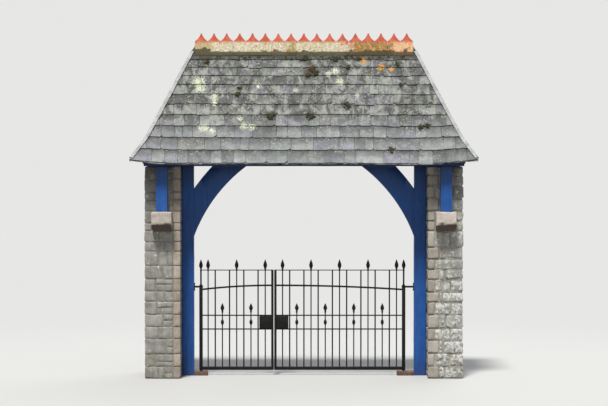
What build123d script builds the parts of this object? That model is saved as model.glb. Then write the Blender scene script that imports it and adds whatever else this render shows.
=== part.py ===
from build123d import *
import math
import os

# Lychgate: a hipped, bell-cast slate roof on two rubble walls, with a braced timber
# frame across the middle of the passage and a pair of unequal wrought-iron gate leaves.
# Frame: X runs across the passage, Y runs through it, Z is up, ground level is Z = 0.
# All lengths are in millimetres.

# Rubble side walls
passage_width = 2870
wall_thickness = 415
wall_length = 860
wall_height = 2470

# Braced frame across the middle
post_size = 140
post_arris = 6
tie_beam_depth = 140
brace_thickness = 90
brace_drop = 832
brace_shoulder = 270
brace_inner_reach = 625
brace_outer_reach = 221
brace_inner_bow = 76
brace_outer_bow = 6

# Plates, corbels and struts that carry the eaves
plate_width = 120
plate_depth = 100
corbel_width = 260
corbel_height = 220
corbel_lip = 30
corbel_tail = 150
corbel_nose = 130
corbel_bow = 40
corbel_edge = 20
strut_size = 130
strut_length = 525
strut_gap = 10

# Roof pitches in degrees: a steep main pitch above a flatter flare at the eaves
main_pitch = 63.6
flare_pitch = 55
flare_setback = 15
flare_run = 170
slate_layer = 22
slate_step = 16
course_count = 12
board_thickness = 20
board_setback = 50

# Rafters
rafter_width = 50
rafter_depth = 65
rafter_spacing = 400
rafter_seat = 30
tail_depth = 35
tail_setback = 70
hip_rafter_width = 40
hip_rafter_depth = 78
ridge_board_width = 30
ridge_board_depth = 220

# Ridge and hips
tile_wing = 140
tile_thickness = 16
tile_joint = 3
point_spacing = 150
points_per_tile = 3
crest_thickness = 18
crest_saddle = 12
crest_height = 90
crest_tip = 12
crest_bow = 11
fillet_width = 32
fillet_rise = 6

# Gate leaves
meeting_line = -355
meeting_gap = 8
narrow_hang_gap = 60
wide_hang_gap = 100
narrow_bays = 5
wide_bays = 9
stile_size = 40
stile_top = 1030
stile_rod = 20
meeting_stile_size = 28
leaf_bottom = 60
rail_thickness = 22
bottom_rail_depth = 40
band_rail_depth = 14
band_bottom = 550
band_height = 148
top_rail_depth = 20
top_rail_drop = 31
top_rail_rise = 50
upper_rail_top = 1244
upper_rail_depth = 10
bar_size = 16
rod_size = 14
rod_sides = 8
knop_width = 38
knop_height = 64
knop_edge = 12
spear_width = 46
spear_height = 124
spear_thickness = 8
dog_bar_rise = 38
dog_spear_height = 100

# Lock
lock_length = 140
lock_depth = 45
lock_edge = 3

# Hinges
journal_diameter = 24
journal_clearance = 1
collar_height = 22
collar_gap = 2
collar_wall = 12
collar_arm = 26
collar_plate = 8
collar_plate_width = 60
collar_plate_height = 90
hinge_ring_diameter = 38
hinge_ring_height = 12
heel_stone_width = 160
heel_stone_height = 45
heel_stone_edge = 80
heel_cup_depth = 35
heel_gap = 0.3

# Sizes that follow from the driving ones
half_passage = passage_width / 2
wall_outer = half_passage + wall_thickness
wall_middle = half_passage + wall_thickness / 2
wall_end = wall_length / 2
post_inner = half_passage - post_size
corbel_top = wall_height - strut_length
strut_outer = wall_end + strut_gap + strut_size
plate_middle = strut_outer - strut_size / 2
plate_inner = plate_middle - plate_width / 2
plate_outer = plate_middle + plate_width / 2
ridge_half = wall_outer - plate_outer
main_run = plate_outer - flare_setback
roof_run = main_run + flare_run
eaves_half_length = ridge_half + roof_run
main_angle = math.radians(main_pitch)
flare_angle = math.radians(flare_pitch)
board_depth = slate_layer + board_thickness
rafter_bottom = board_depth + rafter_depth
seat_rise = (plate_outer - rafter_seat) * math.tan(main_angle)
rafter_rise = seat_rise + rafter_bottom / math.cos(main_angle)
ridge_height = wall_height + plate_depth + rafter_rise
flare_height = ridge_height - main_run * math.tan(main_angle)
eaves_height = flare_height - flare_run * math.tan(flare_angle)
hip_rafter_bottom = board_depth + hip_rafter_depth
band_top = band_bottom + band_height
narrow_axis = -post_inner + narrow_hang_gap + stile_size / 2
wide_axis = post_inner - wide_hang_gap - stile_size / 2
stile_setback = (meeting_gap + meeting_stile_size) / 2

os.makedirs("parts", exist_ok=True)


def keep(piece, name):
    """Label a finished piece and write it to its file."""
    piece.part.label = name
    export_step(piece.part, "parts/" + name + ".step")


def mirrored(piece, plane):
    """The same piece on the other side of a plane."""
    with BuildPart() as twin:
        mirror(piece.part, about=plane)
    return twin


def pair(piece, plane):
    """A piece together with its mirror image."""
    with BuildPart() as both:
        add(piece.part)
        mirror(piece.part, about=plane)
    return both


# Roof geometry: distance runs outwards from the ridge line or the ridge end, and depth is
# measured square to the slope, down from the face of the slates.
def main_line(distance, depth):
    """Height of the main pitch."""
    return ridge_height - distance * math.tan(main_angle) - depth / math.cos(main_angle)


def flare_line(distance, depth):
    """Height of the flare at the eaves."""
    fall = (distance - main_run) * math.tan(flare_angle)
    return flare_height - fall - depth / math.cos(flare_angle)


def layer_line(depth, end):
    """The slope at one depth, from its lower end up to the ridge."""
    lag = depth / math.cos(main_angle) - depth / math.cos(flare_angle)
    turn = main_run - lag / (math.tan(main_angle) - math.tan(flare_angle))
    return [(end, flare_line(end, depth)), (turn, main_line(turn, depth)),
            (0, main_line(0, depth))]


def distance_at(height):
    """Distance from the ridge at which the face of the slates has this height."""
    if height > flare_height:
        return (ridge_height - height) / math.tan(main_angle)
    return main_run + (flare_height - height) / math.tan(flare_angle)


def slate_outline():
    """Section of the slates, a step at each butt, courses diminishing up the slope."""
    shares = [2 * course_count - course for course in range(course_count)]
    rise = (ridge_height - eaves_height) / sum(shares)
    points = [(roof_run, eaves_height)]
    height = eaves_height
    for share in shares[:-1]:
        height += rise * share
        points.append((distance_at(height), height - slate_step))
        points.append((distance_at(height), height))
    points.append((0, ridge_height))
    return points + layer_line(slate_layer, roof_run)[::-1]


def board_outline():
    """Section of the roof boarding, which stops short of the slates at the eaves."""
    end = roof_run - board_setback
    return layer_line(slate_layer, end) + layer_line(board_depth, end)[::-1]


def rafter_outline(top_depth, bottom_depth):
    """Rafter with its sprocket, cut plumb at the outer face of the plate."""
    tail = roof_run - tail_setback
    return layer_line(top_depth, tail) + [
        (0, main_line(0, bottom_depth)),
        (plate_outer, main_line(plate_outer, bottom_depth)),
        (plate_outer, flare_line(plate_outer, board_depth + tail_depth)),
        (tail, flare_line(tail, board_depth + tail_depth)),
    ]


def front_side(points):
    """A slope's section turned towards the front."""
    return [(-distance, height) for distance, height in points]


def left_side(points):
    """A slope's section turned towards the left, from the end of the ridge."""
    return [(-ridge_half - distance, height) for distance, height in points]


front_plan = [(-ridge_half, 0), (ridge_half, 0), (eaves_half_length, -roof_run),
              (-eaves_half_length, -roof_run)]
left_plan = [(-ridge_half, 0), (-eaves_half_length, roof_run), (-eaves_half_length, -roof_run)]


def front_layer(points):
    """A layer of the front slope, mitred along the hips."""
    with BuildPart() as layer:
        with BuildSketch(Plane.YZ):
            Polygon(front_side(points), align=None)
        extrude(amount=eaves_half_length, both=True)
        with BuildSketch(Plane.XY):
            Polygon(front_plan, align=None)
        extrude(amount=ridge_height, mode=Mode.INTERSECT)
    return layer


def left_layer(points):
    """A layer of the left hip end, mitred along the hips."""
    with BuildPart() as layer:
        with BuildSketch(Plane.XZ):
            Polygon(left_side(points), align=None)
        extrude(amount=roof_run, both=True)
        with BuildSketch(Plane.XY):
            Polygon(left_plan, align=None)
        extrude(amount=ridge_height, mode=Mode.INTERSECT)
    return layer


def room_under(depth):
    """All of the room below the four slopes at one depth, down to the ground."""
    line = layer_line(depth, roof_run)
    with BuildPart() as room:
        with BuildSketch(Plane.YZ):
            Polygon(front_side(line) + [(0, 0), (-roof_run, 0)], align=None)
            mirror(about=Plane.YZ)
        extrude(amount=eaves_half_length, both=True)
        with BuildSketch(Plane.XZ):
            Polygon(left_side(line) + [(0, line[-1][1]), (0, 0), (-eaves_half_length, 0)],
                    align=None)
            mirror(about=Plane.YZ)
        extrude(amount=roof_run, both=True, mode=Mode.INTERSECT)
    return room


# Rubble walls, each with pockets for the tails of its corbels
with BuildPart() as left_wall:
    with BuildSketch(Plane.XY):
        with Locations((-wall_middle, 0)):
            Rectangle(wall_thickness, wall_length)
    extrude(amount=wall_height)
    with Locations((-wall_middle, 0, corbel_top - corbel_height / 2)):
        with GridLocations(0, wall_length - corbel_tail, 1, 2):
            Box(corbel_width, corbel_tail, corbel_height, mode=Mode.SUBTRACT)
keep(left_wall, "left_wall")
keep(mirrored(left_wall, Plane.YZ), "right_wall")

# Corbels: blocks built into the wall ends, rounded underneath
corbel_face = -strut_outer - corbel_lip
corbel_heel = -wall_end + corbel_tail
corbel_bottom = corbel_top - corbel_height
with BuildPart() as left_corbel:
    with BuildSketch(Plane.YZ.offset(-wall_middle)):
        with BuildLine():
            Polyline((-wall_end, corbel_bottom), (corbel_heel, corbel_bottom),
                     (corbel_heel, corbel_top), (corbel_face, corbel_top),
                     (corbel_face, corbel_top - corbel_nose))
            SagittaArc((corbel_face, corbel_top - corbel_nose), (-wall_end, corbel_bottom),
                       -corbel_bow)
        make_face()
    extrude(amount=corbel_width / 2, both=True)
    fillet(left_corbel.edges().filter_by(Axis.Z).group_by(Axis.Y)[0], corbel_edge)
front_corbels = pair(left_corbel, Plane.YZ)
keep(front_corbels, "front_corbels")
keep(mirrored(front_corbels, Plane.XZ), "rear_corbels")

# Struts standing on the corbels under the plates
with BuildPart() as left_strut:
    with BuildSketch(Plane.XY.offset(corbel_top)):
        with Locations((-wall_middle, -plate_middle)):
            Rectangle(strut_size, strut_size)
    extrude(amount=wall_height - corbel_top)
    chamfer(left_strut.edges().filter_by(Axis.Z), post_arris)
front_struts = pair(left_strut, Plane.YZ)
keep(front_struts, "front_struts")
keep(mirrored(front_struts, Plane.XZ), "rear_struts")

# Posts against the passage faces of the walls
with BuildPart() as left_post:
    with BuildSketch(Plane.XY):
        with Locations((-half_passage + post_size / 2, 0)):
            Rectangle(post_size, post_size)
    extrude(amount=wall_height)
    chamfer(left_post.edges().filter_by(Axis.Z), post_arris)
keep(left_post, "left_post")
keep(mirrored(left_post, Plane.YZ), "right_post")

# Arch braces, curved on both edges, from the posts up to the tie beam
brace_foot = (-post_inner, wall_height - brace_drop)
brace_head = (-post_inner, wall_height - brace_shoulder)
brace_inner_top = (-post_inner + brace_inner_reach, wall_height)
brace_outer_top = (-post_inner + brace_outer_reach, wall_height)
with BuildPart() as left_brace:
    with BuildSketch(Plane.XZ):
        with BuildLine():
            SagittaArc(brace_foot, brace_inner_top, brace_inner_bow)
            Line(brace_inner_top, brace_outer_top)
            SagittaArc(brace_outer_top, brace_head, -brace_outer_bow)
            Line(brace_head, brace_foot)
        make_face()
    extrude(amount=brace_thickness / 2, both=True)
keep(left_brace, "left_brace")
keep(mirrored(left_brace, Plane.YZ), "right_brace")

# Tie beam, bearing on both walls
with BuildPart() as tie_beam:
    with BuildSketch(Plane.XY.offset(wall_height)):
        Rectangle(2 * (ridge_half + plate_inner), post_size)
    extrude(amount=tie_beam_depth)
keep(tie_beam, "tie_beam")

# Plates that carry the feet of the rafters
with BuildPart() as front_plate:
    with BuildSketch(Plane.XY.offset(wall_height)):
        with Locations((0, -plate_middle)):
            Rectangle(2 * wall_outer, plate_width)
    extrude(amount=plate_depth)
with BuildPart() as left_plate:
    with BuildSketch(Plane.XY.offset(wall_height)):
        with Locations((-ridge_half - plate_middle, 0)):
            Rectangle(plate_width, 2 * plate_inner)
    extrude(amount=plate_depth)
keep(front_plate, "front_plate")
keep(left_plate, "left_plate")
keep(mirrored(front_plate, Plane.XZ), "rear_plate")
keep(mirrored(left_plate, Plane.YZ), "right_plate")

# Ridge board, bevelled under the boarding
boarded_room = room_under(board_depth)
with BuildPart() as ridge_board:
    with BuildSketch(Plane.YZ):
        with Locations((0, main_line(0, board_depth))):
            Rectangle(ridge_board_width, ridge_board_depth, align=(Align.CENTER, Align.MAX))
    extrude(amount=ridge_half, both=True)
    add(boarded_room.part, mode=Mode.INTERSECT)
keep(ridge_board, "ridge_board")

# Hip rafters, planks on edge below the hips, birdsmouthed over the plates
hip_plane = Plane(origin=(-ridge_half, 0, 0), x_dir=(-1, -1, 0), z_dir=(-1, 1, 0))


def along_hip(points):
    """A slope's section stretched along the line of a hip."""
    return [(distance * math.sqrt(2), height) for distance, height in points]


with BuildPart() as left_hip_rafter:
    with BuildSketch(hip_plane):
        Polygon(along_hip(rafter_outline(0, hip_rafter_bottom)), align=None)
    extrude(amount=hip_rafter_width / 2, both=True)
    add(boarded_room.part, mode=Mode.INTERSECT)
    with Locations((-ridge_half, 0, ridge_height / 2)):
        Box(2 * ridge_half, rafter_width, ridge_height, mode=Mode.SUBTRACT)
    add([front_plate.part, left_plate.part], mode=Mode.SUBTRACT)
front_hip_rafters = pair(left_hip_rafter, Plane.YZ)
hip_rafters = pair(front_hip_rafters, Plane.XZ)
keep(hip_rafters, "hip_rafters")

# Common rafters and jacks, cut against the ridge board, the hips and the plates
common_outline = rafter_outline(board_depth, rafter_bottom)


def rafter_places(half_length):
    """Places of the rafters on both sides of the middle one, clear of the end plates."""
    reach = math.floor((half_length - plate_width) / rafter_spacing)
    return [place * rafter_spacing for place in range(-reach, reach + 1)]


with BuildPart() as front_rafters:
    for place in rafter_places(wall_outer):
        with BuildSketch(Plane.YZ.offset(place)):
            Polygon(front_side(common_outline), align=None)
    extrude(amount=rafter_width / 2, both=True)
    with BuildSketch(Plane.XY):
        Polygon(front_plan, align=None)
    extrude(amount=ridge_height, mode=Mode.INTERSECT)
    add([ridge_board.part, hip_rafters.part, front_plate.part], mode=Mode.SUBTRACT)
keep(front_rafters, "front_rafters")
keep(mirrored(front_rafters, Plane.XZ), "rear_rafters")
with BuildPart() as left_rafters:
    for place in rafter_places(plate_outer):
        with BuildSketch(Plane.XZ.offset(place)):
            Polygon(left_side(common_outline), align=None)
    extrude(amount=rafter_width / 2, both=True)
    with BuildSketch(Plane.XY):
        Polygon(left_plan, align=None)
    extrude(amount=ridge_height, mode=Mode.INTERSECT)
    add([ridge_board.part, hip_rafters.part, left_plate.part], mode=Mode.SUBTRACT)
keep(left_rafters, "left_rafters")
keep(mirrored(left_rafters, Plane.YZ), "right_rafters")

# Roof boarding
front_boarding = front_layer(board_outline())
left_boarding = left_layer(board_outline())
keep(front_boarding, "front_boarding")
keep(left_boarding, "left_boarding")
keep(mirrored(front_boarding, Plane.XZ), "rear_boarding")
keep(mirrored(left_boarding, Plane.YZ), "right_boarding")

# Slates
front_slates = front_layer(slate_outline())
left_slates = left_layer(slate_outline())
keep(front_slates, "front_slates")
keep(left_slates, "left_slates")
keep(mirrored(front_slates, Plane.XZ), "rear_slates")
keep(mirrored(left_slates, Plane.YZ), "right_slates")

# Crested ridge tiles, as many points as the ridge has room for
wing_run = tile_wing * math.cos(main_angle)
tile_top = main_line(0, -tile_thickness)
saddle_height = tile_top + crest_saddle
tile_length = points_per_tile * point_spacing
tiles_that_fit = (2 * ridge_half + tile_joint) / (tile_length + tile_joint)
point_count = math.floor(points_per_tile * tiles_that_fit)
ridge_tile_count = math.ceil(point_count / points_per_tile)
ridge_tiles_length = point_count * point_spacing + (ridge_tile_count - 1) * tile_joint


def crest_face(start, points):
    """Face of a tile's crest: points with slightly hollow flanks between low saddles."""
    end = start + points * point_spacing
    with BuildSketch(Plane.XZ) as crest:
        with BuildLine():
            Polyline((start, saddle_height), (start, ridge_height), (end, ridge_height),
                     (end, saddle_height))
            for point in range(points):
                tip = start + (point + 0.5) * point_spacing
                tip_top = saddle_height + crest_height
                left_tip = (tip - crest_tip / 2, tip_top)
                right_tip = (tip + crest_tip / 2, tip_top)
                left_saddle = (tip - point_spacing / 2, saddle_height)
                right_saddle = (tip + point_spacing / 2, saddle_height)
                SagittaArc(left_saddle, left_tip, -crest_bow)
                Line(left_tip, right_tip)
                SagittaArc(right_tip, right_saddle, -crest_bow)
        make_face()
    return crest.sketch


with BuildPart() as ridge_tiles:
    for tile in range(ridge_tile_count):
        tile_start = -ridge_tiles_length / 2 + tile * (tile_length + tile_joint)
        tile_points = min(points_per_tile, point_count - tile * points_per_tile)
        with BuildSketch(Plane.YZ.offset(tile_start)):
            Polygon([(0, ridge_height), (wing_run, main_line(wing_run, 0)),
                     (wing_run, main_line(wing_run, -tile_thickness)), (0, tile_top)], align=None)
            mirror(about=Plane.YZ)
        extrude(amount=tile_points * point_spacing)
        extrude(crest_face(tile_start, tile_points), amount=crest_thickness / 2, both=True)
keep(ridge_tiles, "ridge_tiles")

# Mortar fillets over the hips
fillet_outline = layer_line(-fillet_rise, roof_run) + layer_line(slate_layer, roof_run)[::-1]
covered_room = room_under(-fillet_rise)
with BuildPart() as left_hip_fillet:
    with BuildSketch(hip_plane):
        Polygon(along_hip(fillet_outline), align=None)
    extrude(amount=fillet_width / 2, both=True)
    add(covered_room.part, mode=Mode.INTERSECT)
    add([front_slates.part, left_slates.part, ridge_tiles.part], mode=Mode.SUBTRACT)
front_hip_fillets = pair(left_hip_fillet, Plane.YZ)
hip_fillets = pair(front_hip_fillets, Plane.XZ)
keep(hip_fillets, "hip_fillets")


# Gate leaves, drawn with the hinge axis on Z and the leaf towards +X
def spear(height):
    """Flat spear head with a swelling base, drawn from its foot."""
    half = spear_width / 2
    with BuildPart() as head:
        with BuildSketch(Plane.XZ):
            with BuildLine():
                Line((0, 0), (rod_size / 2, 0))
                SagittaArc((rod_size / 2, 0), (half, 0.4 * height), -height / 20)
                SagittaArc((half, 0.4 * height), (0, height), height / 25)
                mirror(about=Plane.YZ)
            make_face()
        extrude(amount=spear_thickness / 2, both=True)
    return head.part


def faceted_knop():
    """Forged block with every edge cut off, threaded on a rod at the origin."""
    with BuildPart() as block:
        Box(knop_width, knop_width, knop_height)
        chamfer(block.edges(), knop_edge)
    return block.part


long_spear = spear(spear_height)
short_spear = spear(dog_spear_height)
knop = faceted_knop()
axle_radius = journal_diameter / 2
collar_bottom = stile_top + collar_gap
collar_top = collar_bottom + collar_height
hinge_ring_bottom = collar_top + collar_gap
heel_pin_bottom = heel_stone_height - heel_cup_depth + heel_gap


def hanging_stile():
    """Square bar with a heel pin below, a journal above and a finial on its rod."""
    with BuildPart() as stile:
        with BuildSketch(Plane.XY.offset(leaf_bottom)):
            Rectangle(stile_size, stile_size)
        extrude(amount=stile_top - leaf_bottom)
        with BuildSketch(Plane.XY.offset(heel_pin_bottom)):
            Circle(axle_radius)
        extrude(amount=leaf_bottom - heel_pin_bottom)
        with BuildSketch(Plane.XY.offset(stile_top)):
            Circle(axle_radius)
        extrude(amount=hinge_ring_bottom - stile_top)
        with BuildSketch(Plane.XY.offset(hinge_ring_bottom)):
            Circle(hinge_ring_diameter / 2)
        extrude(amount=hinge_ring_height)
        with BuildSketch(Plane.XY.offset(hinge_ring_bottom)):
            RegularPolygon(stile_rod / 2, rod_sides, major_radius=False)
        extrude(amount=upper_rail_top - hinge_ring_bottom)
        with Locations((0, 0, upper_rail_top)):
            add(long_spear)
    return stile.part


def rails(width):
    """Bottom, band and upper rails, and the top rail that climbs to the meeting stile."""
    top_low = stile_top - top_rail_drop
    top_high = top_low + top_rail_rise
    with BuildPart() as bars:
        for level, depth in ((leaf_bottom, bottom_rail_depth),
                             (band_bottom - band_rail_depth, band_rail_depth),
                             (band_top, band_rail_depth),
                             (upper_rail_top - upper_rail_depth, upper_rail_depth)):
            with BuildSketch(Plane.XZ):
                with Locations((0, level)):
                    Rectangle(width, depth, align=(Align.MIN, Align.MIN))
        with BuildSketch(Plane.XZ):
            with BuildLine():
                TangentArc((width, top_high), (0, top_low), tangent=(-1, 0))
                Line((0, top_low), (0, top_low + top_rail_depth))
                TangentArc((width, top_high + top_rail_depth), (0, top_low + top_rail_depth),
                           tangent=(-1, 0))
                Line((width, top_high + top_rail_depth), (width, top_high))
            make_face()
        extrude(amount=rail_thickness / 2, both=True)
        with BuildSketch(Plane.XY.offset(leaf_bottom)):
            with Locations((width, 0)):
                Rectangle(meeting_stile_size, meeting_stile_size)
        extrude(amount=upper_rail_top - leaf_bottom)
    return bars.part


def gate_leaf(width, bays):
    """One leaf: square bars in each bay, between them finial rods and dog bars in turn."""
    half_bay = width / bays / 2
    band_middle = band_bottom + band_height / 2
    dog_bar_top = band_top + band_rail_depth + dog_bar_rise
    with BuildPart() as leaf:
        add(hanging_stile())
        add(rails(width))
        for step in range(2, 2 * bays, 2):
            with BuildSketch(Plane.XY.offset(leaf_bottom)):
                with Locations((step * half_bay, 0)):
                    Rectangle(bar_size, bar_size)
            extrude(amount=upper_rail_top - leaf_bottom)
        for step in range(1, 2 * bays, 4):
            with BuildSketch(Plane.XY.offset(leaf_bottom)):
                with Locations((step * half_bay, 0)):
                    RegularPolygon(rod_size / 2, rod_sides, major_radius=False)
            extrude(amount=upper_rail_top - leaf_bottom)
            with Locations((step * half_bay, 0, upper_rail_top)):
                add(long_spear)
        for step in range(3, 2 * bays, 4):
            with BuildSketch(Plane.XY.offset(leaf_bottom)):
                with Locations((step * half_bay, 0)):
                    RegularPolygon(rod_size / 2, rod_sides, major_radius=False)
            extrude(amount=dog_bar_top - leaf_bottom)
            with Locations((step * half_bay, 0, dog_bar_top)):
                add(short_spear)
            with Locations((step * half_bay, 0, band_middle)):
                add(knop)
        with Locations((width - (meeting_stile_size + lock_length) / 2, 0, band_middle)):
            Box(lock_length, lock_depth, band_height, mode=Mode.SUBTRACT)
    return leaf.part


def lock_box(width):
    """Iron case between the band rails beside the meeting stile."""
    with BuildPart() as case:
        with Locations((width - (meeting_stile_size + lock_length) / 2, 0,
                        band_bottom + band_height / 2)):
            Box(lock_length, lock_depth, band_height)
        chamfer(case.edges().filter_by(Axis.X), lock_edge)
    return case.part


narrow_width = meeting_line - stile_setback - narrow_axis
wide_width = wide_axis - meeting_line - stile_setback
with BuildPart() as narrow_leaf:
    with Locations((narrow_axis, 0, 0)):
        add(gate_leaf(narrow_width, narrow_bays))
with BuildPart() as lock_case:
    with Locations((narrow_axis, 0, 0)):
        add(lock_box(narrow_width))
with BuildPart() as wide_leaf:
    with Locations((wide_axis, 0, 0)):
        add(mirror(gate_leaf(wide_width, wide_bays), about=Plane.YZ, mode=Mode.PRIVATE))
with BuildPart() as lock_keep:
    with Locations((wide_axis, 0, 0)):
        add(mirror(lock_box(wide_width), about=Plane.YZ, mode=Mode.PRIVATE))
keep(narrow_leaf, "narrow_leaf")
keep(lock_case, "lock_case")
keep(wide_leaf, "wide_leaf")
keep(lock_keep, "lock_keep")


# Hinge collars on the posts, and heel stones with cups for the heel pins
def hinge_collar(hang_gap):
    """Ring round a journal at the origin, on an arm from a plate on the post at -X."""
    reach = hang_gap + stile_size / 2
    middle = collar_bottom + collar_height / 2
    with BuildPart() as collar:
        with BuildSketch(Plane.XY.offset(collar_bottom)):
            Circle(axle_radius + journal_clearance + collar_wall)
            with Locations((-reach / 2, 0)):
                Rectangle(reach, collar_arm)
            Circle(axle_radius + journal_clearance, mode=Mode.SUBTRACT)
        extrude(amount=collar_height)
        with Locations((-reach + collar_plate / 2, 0, middle)):
            Box(collar_plate, collar_plate_width, collar_plate_height)
    return collar.part


def heel_stone(hang_gap):
    """Low stone from the post at -X to past the hinge axis, with a round cup."""
    reach = hang_gap + stile_size / 2
    with BuildPart() as stone:
        with BuildSketch(Plane.XY):
            with Locations((-reach, 0)):
                Rectangle(reach + heel_stone_edge, heel_stone_width,
                          align=(Align.MIN, Align.CENTER))
        extrude(amount=heel_stone_height)
        with Locations((0, 0, heel_stone_height)):
            Hole(axle_radius + journal_clearance, depth=heel_cup_depth)
    return stone.part


with BuildPart() as left_hinge_collar:
    with Locations((narrow_axis, 0, 0)):
        add(hinge_collar(narrow_hang_gap))
with BuildPart() as left_heel_stone:
    with Locations((narrow_axis, 0, 0)):
        add(heel_stone(narrow_hang_gap))
with BuildPart() as right_hinge_collar:
    with Locations((wide_axis, 0, 0)):
        add(mirror(hinge_collar(wide_hang_gap), about=Plane.YZ, mode=Mode.PRIVATE))
with BuildPart() as right_heel_stone:
    with Locations((wide_axis, 0, 0)):
        add(mirror(heel_stone(wide_hang_gap), about=Plane.YZ, mode=Mode.PRIVATE))
keep(left_hinge_collar, "left_hinge_collar")
keep(left_heel_stone, "left_heel_stone")
keep(right_hinge_collar, "right_hinge_collar")
keep(right_heel_stone, "right_heel_stone")
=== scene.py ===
import math
import random

import bmesh
import bpy
from mathutils import Matrix, Vector, noise


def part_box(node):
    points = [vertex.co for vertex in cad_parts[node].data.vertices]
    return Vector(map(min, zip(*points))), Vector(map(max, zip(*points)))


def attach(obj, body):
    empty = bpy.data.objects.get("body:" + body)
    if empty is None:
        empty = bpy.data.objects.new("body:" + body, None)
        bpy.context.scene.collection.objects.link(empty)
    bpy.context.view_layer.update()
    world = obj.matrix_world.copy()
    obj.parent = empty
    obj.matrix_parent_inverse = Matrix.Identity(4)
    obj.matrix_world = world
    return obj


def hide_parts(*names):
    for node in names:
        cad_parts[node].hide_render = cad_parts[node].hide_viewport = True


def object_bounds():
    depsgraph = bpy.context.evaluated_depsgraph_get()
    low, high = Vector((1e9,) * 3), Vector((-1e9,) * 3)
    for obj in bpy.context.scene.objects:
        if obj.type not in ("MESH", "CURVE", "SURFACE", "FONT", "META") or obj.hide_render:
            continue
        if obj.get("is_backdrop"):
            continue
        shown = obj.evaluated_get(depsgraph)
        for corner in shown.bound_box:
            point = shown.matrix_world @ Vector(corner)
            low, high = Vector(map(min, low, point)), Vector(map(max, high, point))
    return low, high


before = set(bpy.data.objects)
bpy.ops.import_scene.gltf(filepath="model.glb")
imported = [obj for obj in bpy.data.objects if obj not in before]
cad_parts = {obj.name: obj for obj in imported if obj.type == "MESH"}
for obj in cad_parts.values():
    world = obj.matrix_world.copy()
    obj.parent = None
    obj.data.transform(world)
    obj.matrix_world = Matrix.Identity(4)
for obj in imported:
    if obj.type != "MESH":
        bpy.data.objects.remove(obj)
cad_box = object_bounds()

# Lychgate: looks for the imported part. X runs across the passage, Y through it, Z is up.
# All lengths are in metres. Heights in the materials are heights over the ground.

SLOPES = FRONT, REAR, LEFT, RIGHT = ("front", "rear", "left", "right")

# Without a seed noise_vector would take its offsets from the clock
NOISE_SEED = 1
noise.seed_set(NOISE_SEED)


# Shader helpers
class Value:
    """A number or colour over a surface; sums and products of values become Math nodes."""

    def __init__(self, shader, socket):
        self.shader = shader
        self.socket = socket

    def __mul__(self, other):
        return self.shader.math("MULTIPLY", self, other)

    def __add__(self, other):
        return self.shader.math("ADD", self, other)

    def __sub__(self, other):
        return self.shader.math("SUBTRACT", self, other)

    def __rsub__(self, other):
        return self.shader.math("SUBTRACT", other, self)

    def fit(self, low, high, to_low=0.0, to_high=1.0):
        """Goes smoothly from to_low to to_high while the value goes from low to high."""
        inputs = {"Value": self, "From Min": low, "From Max": high, "To Min": to_low, "To Max": to_high}
        return self.shader.make("MapRange", "Result", inputs, interpolation_type="SMOOTHSTEP")


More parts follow.
